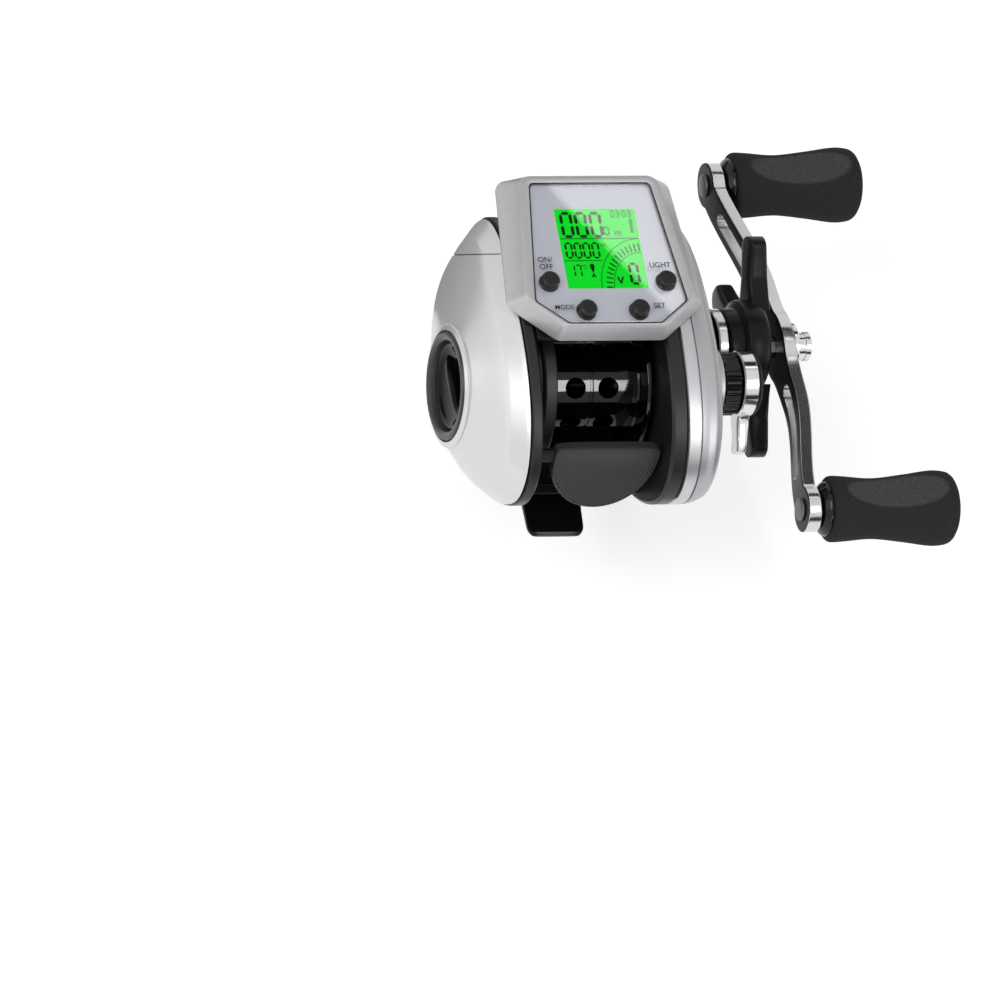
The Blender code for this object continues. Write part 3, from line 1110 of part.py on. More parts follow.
def make_thumb_bar():
    """Thumb bar: a crowned plate, straight at the top and half round below, with lugs into the plates."""
    lean = math.radians(THUMB_LEAN)
    down = Vector((0, -math.sin(lean), -math.cos(lean)))
    out = Vector((0, -math.cos(lean), math.sin(lean)))
    top = Vector((THUMB_CENTRE_X, -THUMB_TOP_BACK, THUMB_TOP_RAISE + SPOOL_AXIS_HEIGHT))
    flat = [(-1 + THUMB_CORNER_SHARE, 0.0), (1 - THUMB_CORNER_SHARE, 0.0), (1.0, THUMB_CORNER_SHARE / 2)]
    arc_steps = 16
    corner = THUMB_CORNER_SHARE
    for step in range(arc_steps + 1):
        angle = math.pi * step / arc_steps
        flat.append((math.cos(angle), corner + (1 - corner) * math.sin(angle) ** 0.9))
    flat.append((-1.0, THUMB_CORNER_SHARE / 2))
    middle = 0.42
    rings = []
    for height, share in ((0.0, 1.0), (0.55, 1.0), (0.85, 0.96), (1.0, THUMB_CROWN_SHARE)):
        ring = []
        for wide, low in flat:
            spread = wide * share
            drop = middle + (low - middle) * share
            place = top + Vector((THUMB_HALF_WIDTH * spread, 0, 0)) + down * THUMB_LENGTH * drop
            ring.append(place + out * THUMB_THICKNESS * height)
        rings.append(ring)
    bar = add("thumb_bar", loft(rings), "black moulding")
    lug_shares = ((0.25, 0.2), (1.0, 0.2), (1.0, 0.75), (0.25, 0.75))
    for side, plate_x in ((-1, LEFT_PLATE_INNER_X), (1, RIGHT_PLATE_INNER_X)):
        root_x = THUMB_CENTRE_X + side * (THUMB_HALF_WIDTH - 2 * OVERRUN)
        far_x = plate_x - side * SEAT_GAP
        rings = []
        for x in (root_x, far_x):
            corners = []
            for drop, rise in lug_shares:
                place = top + down * THUMB_LUG_LENGTH * drop + out * THUMB_THICKNESS * rise
                corners.append((x, place.y, place.z))
            rings.append(corners)
        combine(bar, loft(rings), "UNION", "thumb lug " + str(side))


def display_outline(plan, radius, inset=0.0):
    """Six-cornered outline (x, y) of a display plan, drawn in by an inset, with rounded corners."""
    right = [(half, y) for y, half in plan]
    left = [(-half, y) for y, half in plan]
    corners = [Vector(corner) for corner in left + right[::-1]]
    points = []
    for i, corner in enumerate(corners):
        before = (corners[i - 1] - corner).normalized()
        after = (corners[(i + 1) % len(corners)] - corner).normalized()
        inward = (before + after).normalized()
        half_angle = before.angle(after) / 2
        centre = corner + inward * (inset + radius) / math.sin(half_angle)
        sweep = math.pi - 2 * half_angle
        for step in range(CORNER_STEPS):
            spin = Matrix.Rotation(sweep * (step / (CORNER_STEPS - 1) - 0.5), 2)
            points.append(tuple(centre - spin @ inward * radius))
    return points


def make_display():
    """Display head: shelled housing, window on a ledge, screen, board, cell, pedestal and hood."""
    base = DISPLAY_BASE_Z
    top = DISPLAY_TOP_Z
    ledge_z = WINDOW_BOTTOM_Z - SEAT_GAP
    roof_z = ledge_z - DISPLAY_WALL / 2
    rings = [
        level_ring(display_outline(LOWER_PLAN, DISPLAY_CORNER), base),
        level_ring(display_outline(LOWER_PLAN, DISPLAY_CORNER), base + DISPLAY_EDGE),
        level_ring(display_outline(TOP_PLAN, DISPLAY_CORNER), top - DISPLAY_EDGE),
        level_ring(display_outline(TOP_PLAN, DISPLAY_CORNER, DISPLAY_EDGE), top),
        level_ring(display_outline(WINDOW_PLAN, WINDOW_CORNER, -SEAT_GAP), top),
        level_ring(display_outline(WINDOW_PLAN, WINDOW_CORNER, -SEAT_GAP), ledge_z),
        level_ring(display_outline(WINDOW_PLAN, WINDOW_CORNER, WINDOW_LEDGE), ledge_z),
        level_ring(display_outline(WINDOW_PLAN, WINDOW_CORNER, WINDOW_LEDGE), roof_z),
        level_ring(display_outline(TOP_PLAN, WINDOW_CORNER, DISPLAY_WALL), roof_z),
        level_ring(display_outline(LOWER_PLAN, WINDOW_CORNER, DISPLAY_WALL), base),
    ]
    add("display_housing", loft(rings, closed=True), "display grey")

    outline = display_outline(WINDOW_PLAN, WINDOW_CORNER)
    window_rings = [level_ring(outline, WINDOW_BOTTOM_Z), level_ring(outline, WINDOW_TOP_Z)]
    window = add("display_window", loft(window_rings), "window")
    buttons = (
        ("power_button", -BUTTON_OUTER_X, BUTTON_OUTER_Y),
        ("select_button", -BUTTON_INNER_X, BUTTON_INNER_Y),
        ("set_button", BUTTON_INNER_X, BUTTON_INNER_Y),
        ("light_button", BUTTON_OUTER_X, BUTTON_OUTER_Y),
    )
    low = BOARD_TOP_Z + SEAT_GAP + BUTTON_TRAVEL
    high = WINDOW_TOP_Z + BUTTON_PROUD
    for name, x, y in buttons:
        hole = BUTTON_RADIUS + SEAT_GAP
        rings = [plan_circle(hole, x, y, WINDOW_BOTTOM_Z - OVERRUN), plan_circle(hole, x, y, high)]
        combine(window, loft(rings), "DIFFERENCE", name + " hole")
        rings = [
            plan_circle(BUTTON_RADIUS, x, y, low),
            plan_circle(BUTTON_RADIUS, x, y, high - BUTTON_EDGE),
            plan_circle(BUTTON_RADIUS - BUTTON_EDGE, x, y, high),
        ]
        add(name, loft(rings), "black moulding", Vector((x, y, low + SPOOL_AXIS_HEIGHT)))

    screen_low = (-SCREEN_HALF_WIDTH, SCREEN_REAR_Y, SCREEN_TOP_Z - SCREEN_THICKNESS)
    screen_high = (SCREEN_HALF_WIDTH, SCREEN_FRONT_Y, SCREEN_TOP_Z)
    add("lcd_screen", block(screen_low, screen_high), "screen green")
    board = display_outline(TOP_PLAN, WINDOW_CORNER, DISPLAY_WALL + 2 * SEAT_GAP)
    board_rings = [level_ring(board, BOARD_TOP_Z - BOARD_THICKNESS), level_ring(board, BOARD_TOP_Z)]
    add("circuit_board", loft(board_rings), "board green")
    cell_rings = [
        plan_circle(CELL_RADIUS, 0, CELL_Y, CELL_TOP_Z - CELL_THICKNESS),
        plan_circle(CELL_RADIUS, 0, CELL_Y, CELL_TOP_Z),
    ]
    add("coin_cell", loft(cell_rings), "polished steel")

    hood = band_outline(HOOD_SHARE, HOOD_THICKNESS, HOOD_START_ANGLE, HOOD_END_ANGLE, 14)
    hood_start = LEFT_PLATE_INNER_X + SEAT_GAP
    hood_end = RIGHT_PLATE_INNER_X - SEAT_GAP
    add("front_hood", prism(hood, hood_start, hood_end), "pearl silver")

    low = (PEDESTAL_LEFT_X, PEDESTAL_REAR_Y, 0)
    high = (PEDESTAL_RIGHT_X, PEDESTAL_FRONT_Y, base + DISPLAY_FLOOR / 2)
    pedestal = add("display_pedestal", block(low, high), "pearl silver")
    seat = prism(body_outline(1 + SEAT_GAP / BODY_TOP), PEDESTAL_LEFT_X - OVERRUN, PEDESTAL_RIGHT_X + OVERRUN)
    combine(pedestal, seat, "DIFFERENCE", "body seat")
    plate = display_outline(LOWER_PLAN, WINDOW_CORNER, DISPLAY_WALL + DISPLAY_FLOOR + SEAT_GAP)
    plate_rings = [level_ring(plate, base - SEAT_GAP), level_ring(plate, base + DISPLAY_FLOOR)]
    combine(pedestal, loft(plate_rings), "UNION", "display floor")
    pocket_z = CELL_TOP_Z - CELL_THICKNESS - SEAT_GAP
    pocket_rings = [
        plan_circle(CELL_RADIUS + SEAT_GAP, 0, CELL_Y, pocket_z),
        plan_circle(CELL_RADIUS + SEAT_GAP, 0, CELL_Y, CELL_TOP_Z + OVERRUN),
    ]
    combine(pedestal, loft(pocket_rings), "DIFFERENCE", "cell pocket")


def plan_circle(radius, x, y, z):
    """Ring of points round a vertical axis."""
    turns = [2 * math.pi * step / SMALL_SIDES for step in range(SMALL_SIDES)]
    height = z + SPOOL_AXIS_HEIGHT
    return [(x + radius * math.cos(turn), y + radius * math.sin(turn), height) for turn in turns]


make_frame()
make_foot()
LEFT_BEARING_X = make_palm_side()
make_bearing("left_spool_bearing", LEFT_BEARING_X)
make_bearing("right_spool_bearing", RIGHT_PLATE_INNER_X + SEAT_GAP)
make_spool()
make_gear_train()
make_gear_cover()
make_cast_control()
make_drive_shaft()
make_crank()
make_knobs()
make_level_wind()
make_thumb_bar()
make_display()
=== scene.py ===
"""Digital baitcasting reel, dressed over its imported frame: pearl side covers, black metal frame, drilled
spool, lit display, and a double crank with foam grips, in a plain white studio."""

import math

import bmesh
import bpy
import numpy as np
from mathutils import Matrix, Vector


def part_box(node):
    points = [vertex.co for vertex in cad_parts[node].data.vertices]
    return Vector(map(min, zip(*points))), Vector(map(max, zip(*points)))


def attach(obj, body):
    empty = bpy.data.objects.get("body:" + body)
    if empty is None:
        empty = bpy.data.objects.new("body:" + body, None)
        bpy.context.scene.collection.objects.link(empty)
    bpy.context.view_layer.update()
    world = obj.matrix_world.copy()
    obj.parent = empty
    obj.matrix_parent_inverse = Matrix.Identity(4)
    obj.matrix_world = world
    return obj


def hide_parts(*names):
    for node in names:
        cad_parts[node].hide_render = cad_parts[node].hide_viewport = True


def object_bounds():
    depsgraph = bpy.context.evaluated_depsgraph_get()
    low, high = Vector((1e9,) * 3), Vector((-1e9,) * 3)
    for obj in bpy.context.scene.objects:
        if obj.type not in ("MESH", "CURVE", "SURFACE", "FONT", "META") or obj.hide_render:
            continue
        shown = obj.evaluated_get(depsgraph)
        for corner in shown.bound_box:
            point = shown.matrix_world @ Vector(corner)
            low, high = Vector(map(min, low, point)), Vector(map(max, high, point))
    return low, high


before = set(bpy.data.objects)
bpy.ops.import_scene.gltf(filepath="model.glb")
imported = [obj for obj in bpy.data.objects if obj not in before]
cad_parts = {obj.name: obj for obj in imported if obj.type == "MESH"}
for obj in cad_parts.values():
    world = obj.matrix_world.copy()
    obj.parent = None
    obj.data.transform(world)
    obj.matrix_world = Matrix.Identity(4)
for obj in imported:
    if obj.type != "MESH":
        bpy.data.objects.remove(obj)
cad_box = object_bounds()


# Camera: a long lens high behind the palm side. The reel's places are in millimetres from the middle of the
# spool's axis, over the middle of the foot. That point shows right of and above the picture's middle.
MM = 0.001
spool_low, spool_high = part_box("spool")
AXIS_HEIGHT = (spool_low.z + spool_high.z) / 2
AXIS = Vector((0, 0, AXIS_HEIGHT))
PIXELS_PER_MM = 4.3
IMAGE_SIDE = 1001
AXIS_PIXEL = (575, 385)
DISTANCE = 8.0
SIGHT_LIMIT = 20
VIEW_ROLL = math.radians(-0.5)


def new_object(name, data):
    """Object of a mesh, a curve, a lamp or a camera, put into the scene."""
    thing = bpy.data.objects.new(name, data)
    bpy.context.scene.collection.objects.link(thing)
    return thing


def set_at(place, side, up, back):
    """Matrix that sets a thing at a place, with its own x, y and z along side, up and back."""
    return Matrix.Translation(place) @ Matrix((side, up, back)).transposed().to_4x4()


view_back = Vector((-0.342, -0.441, 0.830)).normalized()
view_right = Vector((0.9395, -0.1605, 0.3019))
view_right = (view_right - view_right.dot(view_back) * view_back).normalized()
view_right = Matrix.Rotation(VIEW_ROLL, 3, view_back) @ view_right
view_up = view_back.cross(view_right)
aim = AXIS - view_right * (AXIS_PIXEL[0] - IMAGE_SIDE / 2) / PIXELS_PER_MM * MM
aim -= view_up * (IMAGE_SIDE / 2 - AXIS_PIXEL[1]) / PIXELS_PER_MM * MM
camera_data = bpy.data.cameras.new("camera")
camera_data.lens = camera_data.sensor_width * PIXELS_PER_MM / MM * DISTANCE / IMAGE_SIDE
camera_data.clip_end = SIGHT_LIMIT
camera = new_object("camera", camera_data)
camera.matrix_world = set_at(aim + view_back * DISTANCE, view_right, view_up, view_back)
bpy.context.scene.camera = camera
bpy.context.scene.view_settings.view_transform = "Standard"


# Floor: a wide pale sheet, low enough for the handle to swing over it. It glows a little for the camera and
# in mirrors, so that it shows white, and it keeps a soft shadow.
FLOOR_HALF = 3.0
HANDLE_ROOM = 0.034
FLOOR_GLOW = 0.42


def flat_sheet(name, middle, side, up):
    """Rectangle whose corners are middle + side * x + up * y, where x and y are -1 or 1."""
    mesh = bpy.data.meshes.new(name)
    corners = [middle + side * x + up * y for x, y in ((-1, -1), (1, -1), (1, 1), (-1, 1))]
    mesh.from_pydata([tuple(corner) for corner in corners], [], [(0, 1, 2, 3)])
    return new_object(name, mesh)


def wire(tree, node, *operands, **sockets):
    """Set a node's inputs, the first ones in turn and the rest by name with underscores for spaces. Each one
    gets a plain value or another node's output."""
    named = [(node.inputs[key.replace("_", " ")], value) for key, value in sockets.items()]
    for socket, value in list(zip(node.inputs, operands)) + named:
        if isinstance(value, bpy.types.NodeSocket):
            tree.links.new(value, socket)
        else:
            socket.default_value = value
    return node


def new_node(tree, kind, *operands, mode=None, **sockets):
    """Shader node with its inputs set as wire does. A mode is the name and value of one of its settings."""
    node = tree.nodes.new(kind)
    if mode:
        setattr(node, *mode)
    return wire(tree, node, *operands, **sockets)


def plain_material(name, **sockets):
    """Material of one shader. The shader's sockets are set as wire does."""
    material = bpy.data.materials.new(name)
    material.use_nodes = True
    wire(material.node_tree, material.node_tree.nodes["Principled BSDF"], **sockets)
    return material


def seen_rays(tree):
    """One for camera, glossy and transmission rays, which show a white studio; zero for light on the reel."""
    paths = new_node(tree, "ShaderNodeLightPath")
    seen = paths.outputs["Is Camera Ray"]
    for kind in ("Is Glossy Ray", "Is Transmission Ray"):
        either = new_node(tree, "ShaderNodeMath", seen, paths.outputs[kind], mode=("operation", "MAXIMUM"))
        seen = either.outputs[0]
    return seen


floor_paint = plain_material(
    "floor", Base_Color=(0.85, 0.85, 0.86, 1), Roughness=0.9, Emission_Color=(1, 1, 1, 1),
)
tree = floor_paint.node_tree
glow = new_node(tree, "ShaderNodeMath", seen_rays(tree), FLOOR_GLOW, mode=("operation", "MULTIPLY"))
wire(tree, tree.nodes["Principled BSDF"], Emission_Strength=glow.outputs[0])
floor_middle = Vector((0, 0, cad_box[0].z - HANDLE_ROOM))
floor = flat_sheet("floor", floor_middle, Vector((FLOOR_HALF, 0, 0)), Vector((0, FLOOR_HALF, 0)))
floor.data.materials.append(floor_paint)


# Studio: white surroundings for the camera, metal and glass, and a dimmer dome for the rest. Soft panels
# light the reel, and dark cards stand where its shiny surfaces mirror them.
DOME_LEVEL = 0.42
world = bpy.data.worlds.new("studio")
world.use_nodes = True
bpy.context.scene.world = world
tree = world.node_tree
strength = new_node(tree, "ShaderNodeMapRange", Value=seen_rays(tree), To_Min=DOME_LEVEL, To_Max=1.0)
wire(tree, tree.nodes["Background"], Color=(1, 1, 1, 1), Strength=strength.outputs["Result"])


def facing(place, target, across):
    """Directions side, up and back of a flat thing at a place that faces a target, its width along across."""
    back = (Vector(place) - Vector(target)).normalized()
    up = back.cross(Vector(across)).normalized()
    return up.cross(back), up, back


def panel(name, place, target, across, size, power):
    """Area lamp at a place, in metres, that faces a target. The camera can't see it."""
    lamp_data = bpy.data.lights.new(name, "AREA")
    lamp_data.shape = "RECTANGLE"
    lamp_data.size, lamp_data.size_y = size
    lamp_data.energy = power
    lamp = new_object(name, lamp_data)
    lamp.matrix_world = set_at(place, *facing(place, target, across))
    lamp.visible_camera = False


panel("key_panel", (-0.55, -0.15, 0.75), (0, 0, 0), (0, 1, 0), (0.5, 0.5), 3.2)
panel("left_panel", (-0.82, 0.08, 0.22), (0, 0, 0), (0, 1, 0), (0.5, 0.5), 0.45)
panel("right_panel", (0.8, -0.35, 0.35), (0, 0, 0), (0, 1, 0), (0.35, 0.35), 1.4)
panel("rear_panel", (-0.15, -0.8, 0.3), (0, 0, 0), (1, 0, 0), (0.4, 0.4), 1.0)

# This panel is mirrored in the display's window, up to a slanted line across it
WINDOW_LEVEL = 31.6
GLARE_START = Vector((-10.6, 36.6, WINDOW_LEVEL))
GLARE_END = Vector((14.2, 2.4, WINDOW_LEVEL))
GLARE_SIDE = 0.12
window_point = (GLARE_START + GLARE_END) / 2 * MM + AXIS
sight = (window_point - camera.matrix_world.translation).normalized()
window_mirror = Vector((sight.x, sight.y, -sight.z))
glare_edge = (GLARE_END - GLARE_START).normalized()
glare_edge = (glare_edge - glare_edge.dot(window_mirror) * window_mirror).normalized()
glare_target = window_point + window_mirror.cross(glare_edge) * GLARE_SIDE / 2
panel("glare_panel", glare_target + window_mirror, glare_target, glare_edge, (GLARE_SIDE, GLARE_SIDE), 0.11)

# This narrow one is mirrored along the spool's drum
DRUM_RADIUS = 11.6
STREAK_TURN = math.radians(29)
STRIP_DISTANCE = 0.8
drum_facing = Vector((0, -math.sin(STREAK_TURN), math.cos(STREAK_TURN)))
drum_point = drum_facing * DRUM_RADIUS * MM + AXIS
drum_mirror = 2 * drum_facing.dot(view_back) * drum_facing - view_back
panel("drum_strip", drum_point + drum_mirror * STRIP_DISTANCE, drum_point, (1, 0, 0), (0.035, 0.36), 0.9)


def dark_card(name, place, across, size, target=(0, 0, 0), shade=0.01):
    """Dark card, turned to a target. Only shiny surfaces mirror it, which gives them their dark streaks."""
    side, up, back = facing(place, target, across)
    card = flat_sheet(name, Vector(place), side * size[0] / 2, up * size[1] / 2)
    card.visible_camera = card.visible_diffuse = card.visible_shadow = card.visible_transmission = False
    dull = plain_material(name, Base_Color=(shade, shade, shade, 1), Specular_IOR_Level=0.0)
    card.data.materials.append(dull)


dark_card("right_card", (0.42, 0.05, -0.02), (0, 1, 0), (0.5, 0.14))
dark_card("upper_card", (0.12, 0.50, 0.57), (1, 0, 0), (0.9, 0.22))
dark_card("rear_card", (0.20, -0.58, 0.14), (1, 0, 0), (0.7, 0.22))
dark_card("floor_card", (-0.09, 0.13, cad_box[0].z), (1, 0, 0), (0.26, 0.18), (-0.09, 0.13, 1), 0.3)
dark_card("window_card", window_point + window_mirror * 1.3, glare_edge, (0.22, 0.22))
dark_card("crank_card", (0.159, 0.205, 0.203), (1, 0, 0), (0.12, 0.055))


# Palm side cover: a pearl-painted shell whose cone runs from a rim band at the frame to the dial. A slanted
# seam cuts off its front cap, which has the same paint. Both are mouldings with a thin, even wall.
BODY_REAR = 32.5
BODY_FRONT = 38.0
BODY_TOP = 25.5
BODY_BOTTOM = 25.4
CENTRE_FORWARD = 2.0
CENTRE_RAISE = 4.5
CREASE = math.radians(32)

# Its paint, like the later paints, mouldings and metals, has mottled colour, uneven gloss and a fine bump
surface_group = bpy.data.node_groups.new("surface_detail", "ShaderNodeTree")
for label, kind, usual in (
    ("Colour", "NodeSocketColor", None), ("Second colour", "NodeSocketColor", None),
    ("Mottle scale", "NodeSocketFloat", 60.0), ("Grain scale", "NodeSocketFloat", 2500.0),
    ("Stretch", "NodeSocketVector", None), ("Roughness low", "NodeSocketFloat", 0.3),
    ("Roughness high", "NodeSocketFloat", 0.4), ("Bump", "NodeSocketFloat", 0.1),
):
    socket = surface_group.interface.new_socket(label, in_out="INPUT", socket_type=kind)
    if usual is not None:
        socket.default_value = usual
for label, kind in (
    ("Colour", "NodeSocketColor"), ("Roughness", "NodeSocketFloat"), ("Normal", "NodeSocketVector"),
):
    surface_group.interface.new_socket(label, in_out="OUTPUT", socket_type=kind)
given = new_node(surface_group, "NodeGroupInput").outputs
coordinates = new_node(surface_group, "ShaderNodeTexCoord")
stretched = new_node(
    surface_group, "ShaderNodeVectorMath", coordinates.outputs["Object"], given["Stretch"],
    mode=("operation", "MULTIPLY"),
).outputs[0]
mottle = new_node(
    surface_group, "ShaderNodeTexNoise", Vector=stretched, Scale=given["Mottle scale"], Detail=4,
)
tint = new_node(
    surface_group, "ShaderNodeMix", mode=("data_type", "RGBA"),
    Factor=mottle.outputs["Fac"], A=given["Colour"], B=given["Second colour"],
)
grain = new_node(
    surface_group, "ShaderNodeTexNoise", Vector=stretched, Scale=given["Grain scale"], Detail=2,
)
gloss = new_node(
    surface_group, "ShaderNodeMapRange",
    Value=grain.outputs["Fac"], To_Min=given["Roughness low"], To_Max=given["Roughness high"],
)
bump = new_node(
    surface_group, "ShaderNodeBump", Distance=0.05 * MM, Strength=given["Bump"], Height=grain.outputs["Fac"],
)
new_node(
    surface_group, "NodeGroupOutput",
    Colour=tint.outputs["Result"], Roughness=gloss.outputs["Result"], Normal=bump.outputs["Normal"],
)


def finish(name, colour, second, roughness, bump=0.1, mottle=60, grain=2500, stretch=(1, 1, 1), **fixed):
    """Material with the surface detail. `fixed` sets the shader's own sockets, as wire does."""
    material = plain_material(name, **fixed)
    tree = material.node_tree
    detail = new_node(tree, "ShaderNodeGroup", mode=("node_tree", surface_group))
    wire(
        tree, detail, Colour=(*colour, 1), Second_colour=(*second, 1), Mottle_scale=mottle, Grain_scale=grain,
        Stretch=stretch, Roughness_low=roughness[0], Roughness_high=roughness[1], Bump=bump,
    )
    wire(
        tree, tree.nodes["Principled BSDF"], Base_Color=detail.outputs["Colour"],
        Roughness=detail.outputs["Roughness"], Normal=detail.outputs["Normal"],
    )
    return material


def settle(name, mesh, merge=True):
    """Object for a mesh: doubles merged, normals out, smooth with sharp corners kept."""
    bm = bmesh.new()
    bm.from_mesh(mesh)
    if merge:
        bmesh.ops.remove_doubles(bm, verts=bm.verts, dist=0.002 * MM)
    bmesh.ops.recalc_face_normals(bm, faces=bm.faces)
    bm.to_mesh(mesh)
    bm.free()
    mesh.shade_smooth()
    mesh.set_sharp_from_angle(angle=CREASE)
    return new_object(name, mesh)


def skin(name, grid, caps=(), loop=False, bands=None):
    """Mesh over a grid [row, column, xyz] in mm. Columns run all the way round; loop joins the end rows."""
    grid = np.asarray(grid, float)
    rows, columns = grid.shape[:2]
    strips = rows if loop else rows - 1
    row = np.arange(strips)[:, None] * np.ones(columns, int)
    column = np.arange(columns)[None, :] * np.ones((strips, 1), int)
    far = (row + 1) % rows
    beside = (column + 1) % columns
    corners = ((row, column), (row, beside), (far, beside), (far, column))
    faces = np.stack([r * columns + c for r, c in corners], -1).reshape(-1, 4).tolist()
    if "first" in caps:
        faces.append(list(range(columns))[::-1])
    if "last" in caps:
        faces.append([(rows - 1) * columns + i for i in range(columns)])
    mesh = bpy.data.meshes.new(name)
    points = grid.reshape(-1, 3) * MM + (0, 0, AXIS_HEIGHT)
    mesh.from_pydata(points.tolist(), [], faces)
    if bands is not None:
        slots = np.zeros(len(faces), int)
        slots[: strips * columns] = np.repeat(bands, columns)
        mesh.polygons.foreach_set("material_index", slots)
    return settle(name, mesh)


def dress(piece, body, *materials, replaces=(), slot=None):
    """Give a piece its materials, set it to move with a body, and hide the CAD nodes that it stands for."""
    faces = piece.data.polygons
    parts = np.zeros(len(faces), int)
    faces.foreach_get("material_index", parts)
    piece.data.materials.clear()
    for material in materials:
        piece.data.materials.append(material)
    faces.foreach_set("material_index", np.minimum(parts, len(materials) - 1))
    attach(piece, body)
    if replaces:
        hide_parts(*replaces)
    return piece


def soften(piece, width, segments=3):
    """Round a piece's sharp edges, so that they catch the light."""
    step = piece.modifiers.new("rounded edges", "BEVEL")
    step.width = width * MM
    step.segments = segments
    step.limit_method = "ANGLE"
    step.angle_limit = CREASE
    step.harden_normals = False
    return piece


def smooth(points, steps=8):
    """Curve through points (Catmull-Rom), with a number of steps between each two."""
    points = np.asarray(points, float)
    padded = np.vstack([2 * points[0] - points[1], points, 2 * points[-1] - points[-2]])
    t = np.linspace(0, 1, steps, endpoint=False)[:, None]
    parts = []
    for a, b, c, d in zip(padded, padded[1:], padded[2:], padded[3:]):
        bend = (2 * a - 5 * b + 4 * c - d) * t**2 + (3 * b - a - 3 * c + d) * t**3
        parts.append(0.5 * (2 * b + (c - a) * t + bend))
    return np.vstack(parts + [points[-1:]])


def body_outline(turns):
    """Body's side outline (y, z): a squared ellipse about a centre ahead of and over the axis, flatter at its
    lower rear: centre + half length * |cos|^(2 / power) and centre + half height * |sin|^(2 / power)."""
    along, up = np.cos(turns), np.sin(turns)
    front = along > 0
    length = np.where(front, BODY_FRONT - CENTRE_FORWARD, BODY_REAR + CENTRE_FORWARD)
    height = np.where(up > 0, BODY_TOP - CENTRE_RAISE, BODY_BOTTOM + CENTRE_RAISE)
    power = np.where(front, 3.0, np.where(up > 0, 2.1, 1.6))
    y = CENTRE_FORWARD + np.sign(along) * length * np.abs(along) ** (2 / power)
    z = CENTRE_RAISE + np.sign(up) * height * np.abs(up) ** (2 / power)
    return y, z


def body_rows(rows, sides=200):
    """Grid round the body: each row is (x, share of the outline, roundness towards a circle, its radius)."""
    y, z = body_outline((np.arange(sides) + 0.5) * 2 * np.pi / sides)
    reach = np.hypot(y, z)
    grid = []
    for x, share, roundness, circle_radius in rows:
        scale = share * (1 - roundness) + circle_radius * roundness / reach
        grid.append(np.stack([np.full(sides, x), y * scale, z * scale], -1))
    return grid


def span(name):
    """Where a CAD node starts and ends along the axle, in mm."""
    return tuple(corner.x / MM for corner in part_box(name))


PALM_END, PALM_START = span("palm_cover")
PALM_CREASE = PALM_START - 4.0
DIAL_OPENING = 13.1
RIM_SHARE = 0.88
WALL = 1.4
cone = smooth(
    [(0, 1), (0.05, 0.965), (0.15, 0.88), (0.3, 0.72), (0.5, 0.49), (0.72, 0.25), (0.88, 0.085), (1, 0)], 6,
)
rows = [(PALM_START, 0.975, 0, 0), (PALM_START - 0.25, 0.987, 0, 0), (PALM_START - 0.6, 0.982, 0, 0)]
rows += [(PALM_START - depth, 1 - 0.03 * depth, 0, 0) for depth in (1.2, 2.0, 2.8, 3.4, 3.85)]
rows += [
    (PALM_CREASE + (PALM_END - PALM_CREASE) * depth, RIM_SHARE, 1 - reach, DIAL_OPENING)
    for depth, reach in cone
]
rows.append((PALM_END + 0.6, RIM_SHARE, 1.0, DIAL_OPENING))
pearl = finish(
    "pearl paint", (0.66, 0.66, 0.67), (0.61, 0.61, 0.62), (0.28, 0.36), 0.06, Metallic=0.5, Coat_Weight=0.2,
    Coat_Roughness=0.15,
)
SEAM_TILT = math.radians(28)
SEAM_OFFSET = 30.5
SEAM_GAP = 0.3
seam_normal = Vector((0, math.cos(SEAM_TILT), math.sin(SEAM_TILT)))
for name, node, side in (("palm_cover_skin", "palm_cover", 1), ("front_cap_skin", "front_cap", -1)):
    piece = skin(name, body_rows(rows))
    bm = bmesh.new()
    bm.from_mesh(piece.data)
    bmesh.ops.bisect_plane(
        bm, geom=list(bm.verts) + list(bm.edges) + list(bm.faces), clear_outer=True,
        plane_co=AXIS + seam_normal * (SEAM_OFFSET - SEAM_GAP / 2 * side) * MM, plane_no=seam_normal * side,
    )
    bm.to_mesh(piece.data)
    bm.free()
    wall = piece.modifiers.new("wall", "SOLIDIFY")
    wall.thickness = WALL * MM
    wall.offset = -1
    soften(piece, 0.25)
    dress(piece, "reel_body", pearl, replaces=[node], slot="pearl_silver")


# Dial bezel and brake dial: a glossy black ring that is fixed to the cover, and a deep dish that turns in it,
# with a finger grip across the dish. Both are moulded.
BEZEL_RADIUS = 12.8
BEZEL_BORE = 10.3
DIAL_RADIUS = 9.9
GRIP_REACH = 8.7
GRIP_HEIGHT = 1.9
GRIP_HALF_WIDTH = 1.25


def axle_rings(x, radius, turns, y=0.0, z=0.0):
    """Rings of points about an axle along x: (x, y + radius * cos turn, z + radius * sin turn)."""
    return np.stack(np.broadcast_arrays(x, y + radius * np.cos(turns), z + radius * np.sin(turns)), -1)


def turned(name, profile, y=0.0, z=0.0, sides=96, **how):
    """Piece turned about an axle along x, from rows of (x, radius)."""
    profile = np.asarray(profile, float)
    turns = np.arange(sides) * 2 * np.pi / sides
    return skin(name, axle_rings(profile[:, :1], profile[:, 1:], turns, y, z), **how)


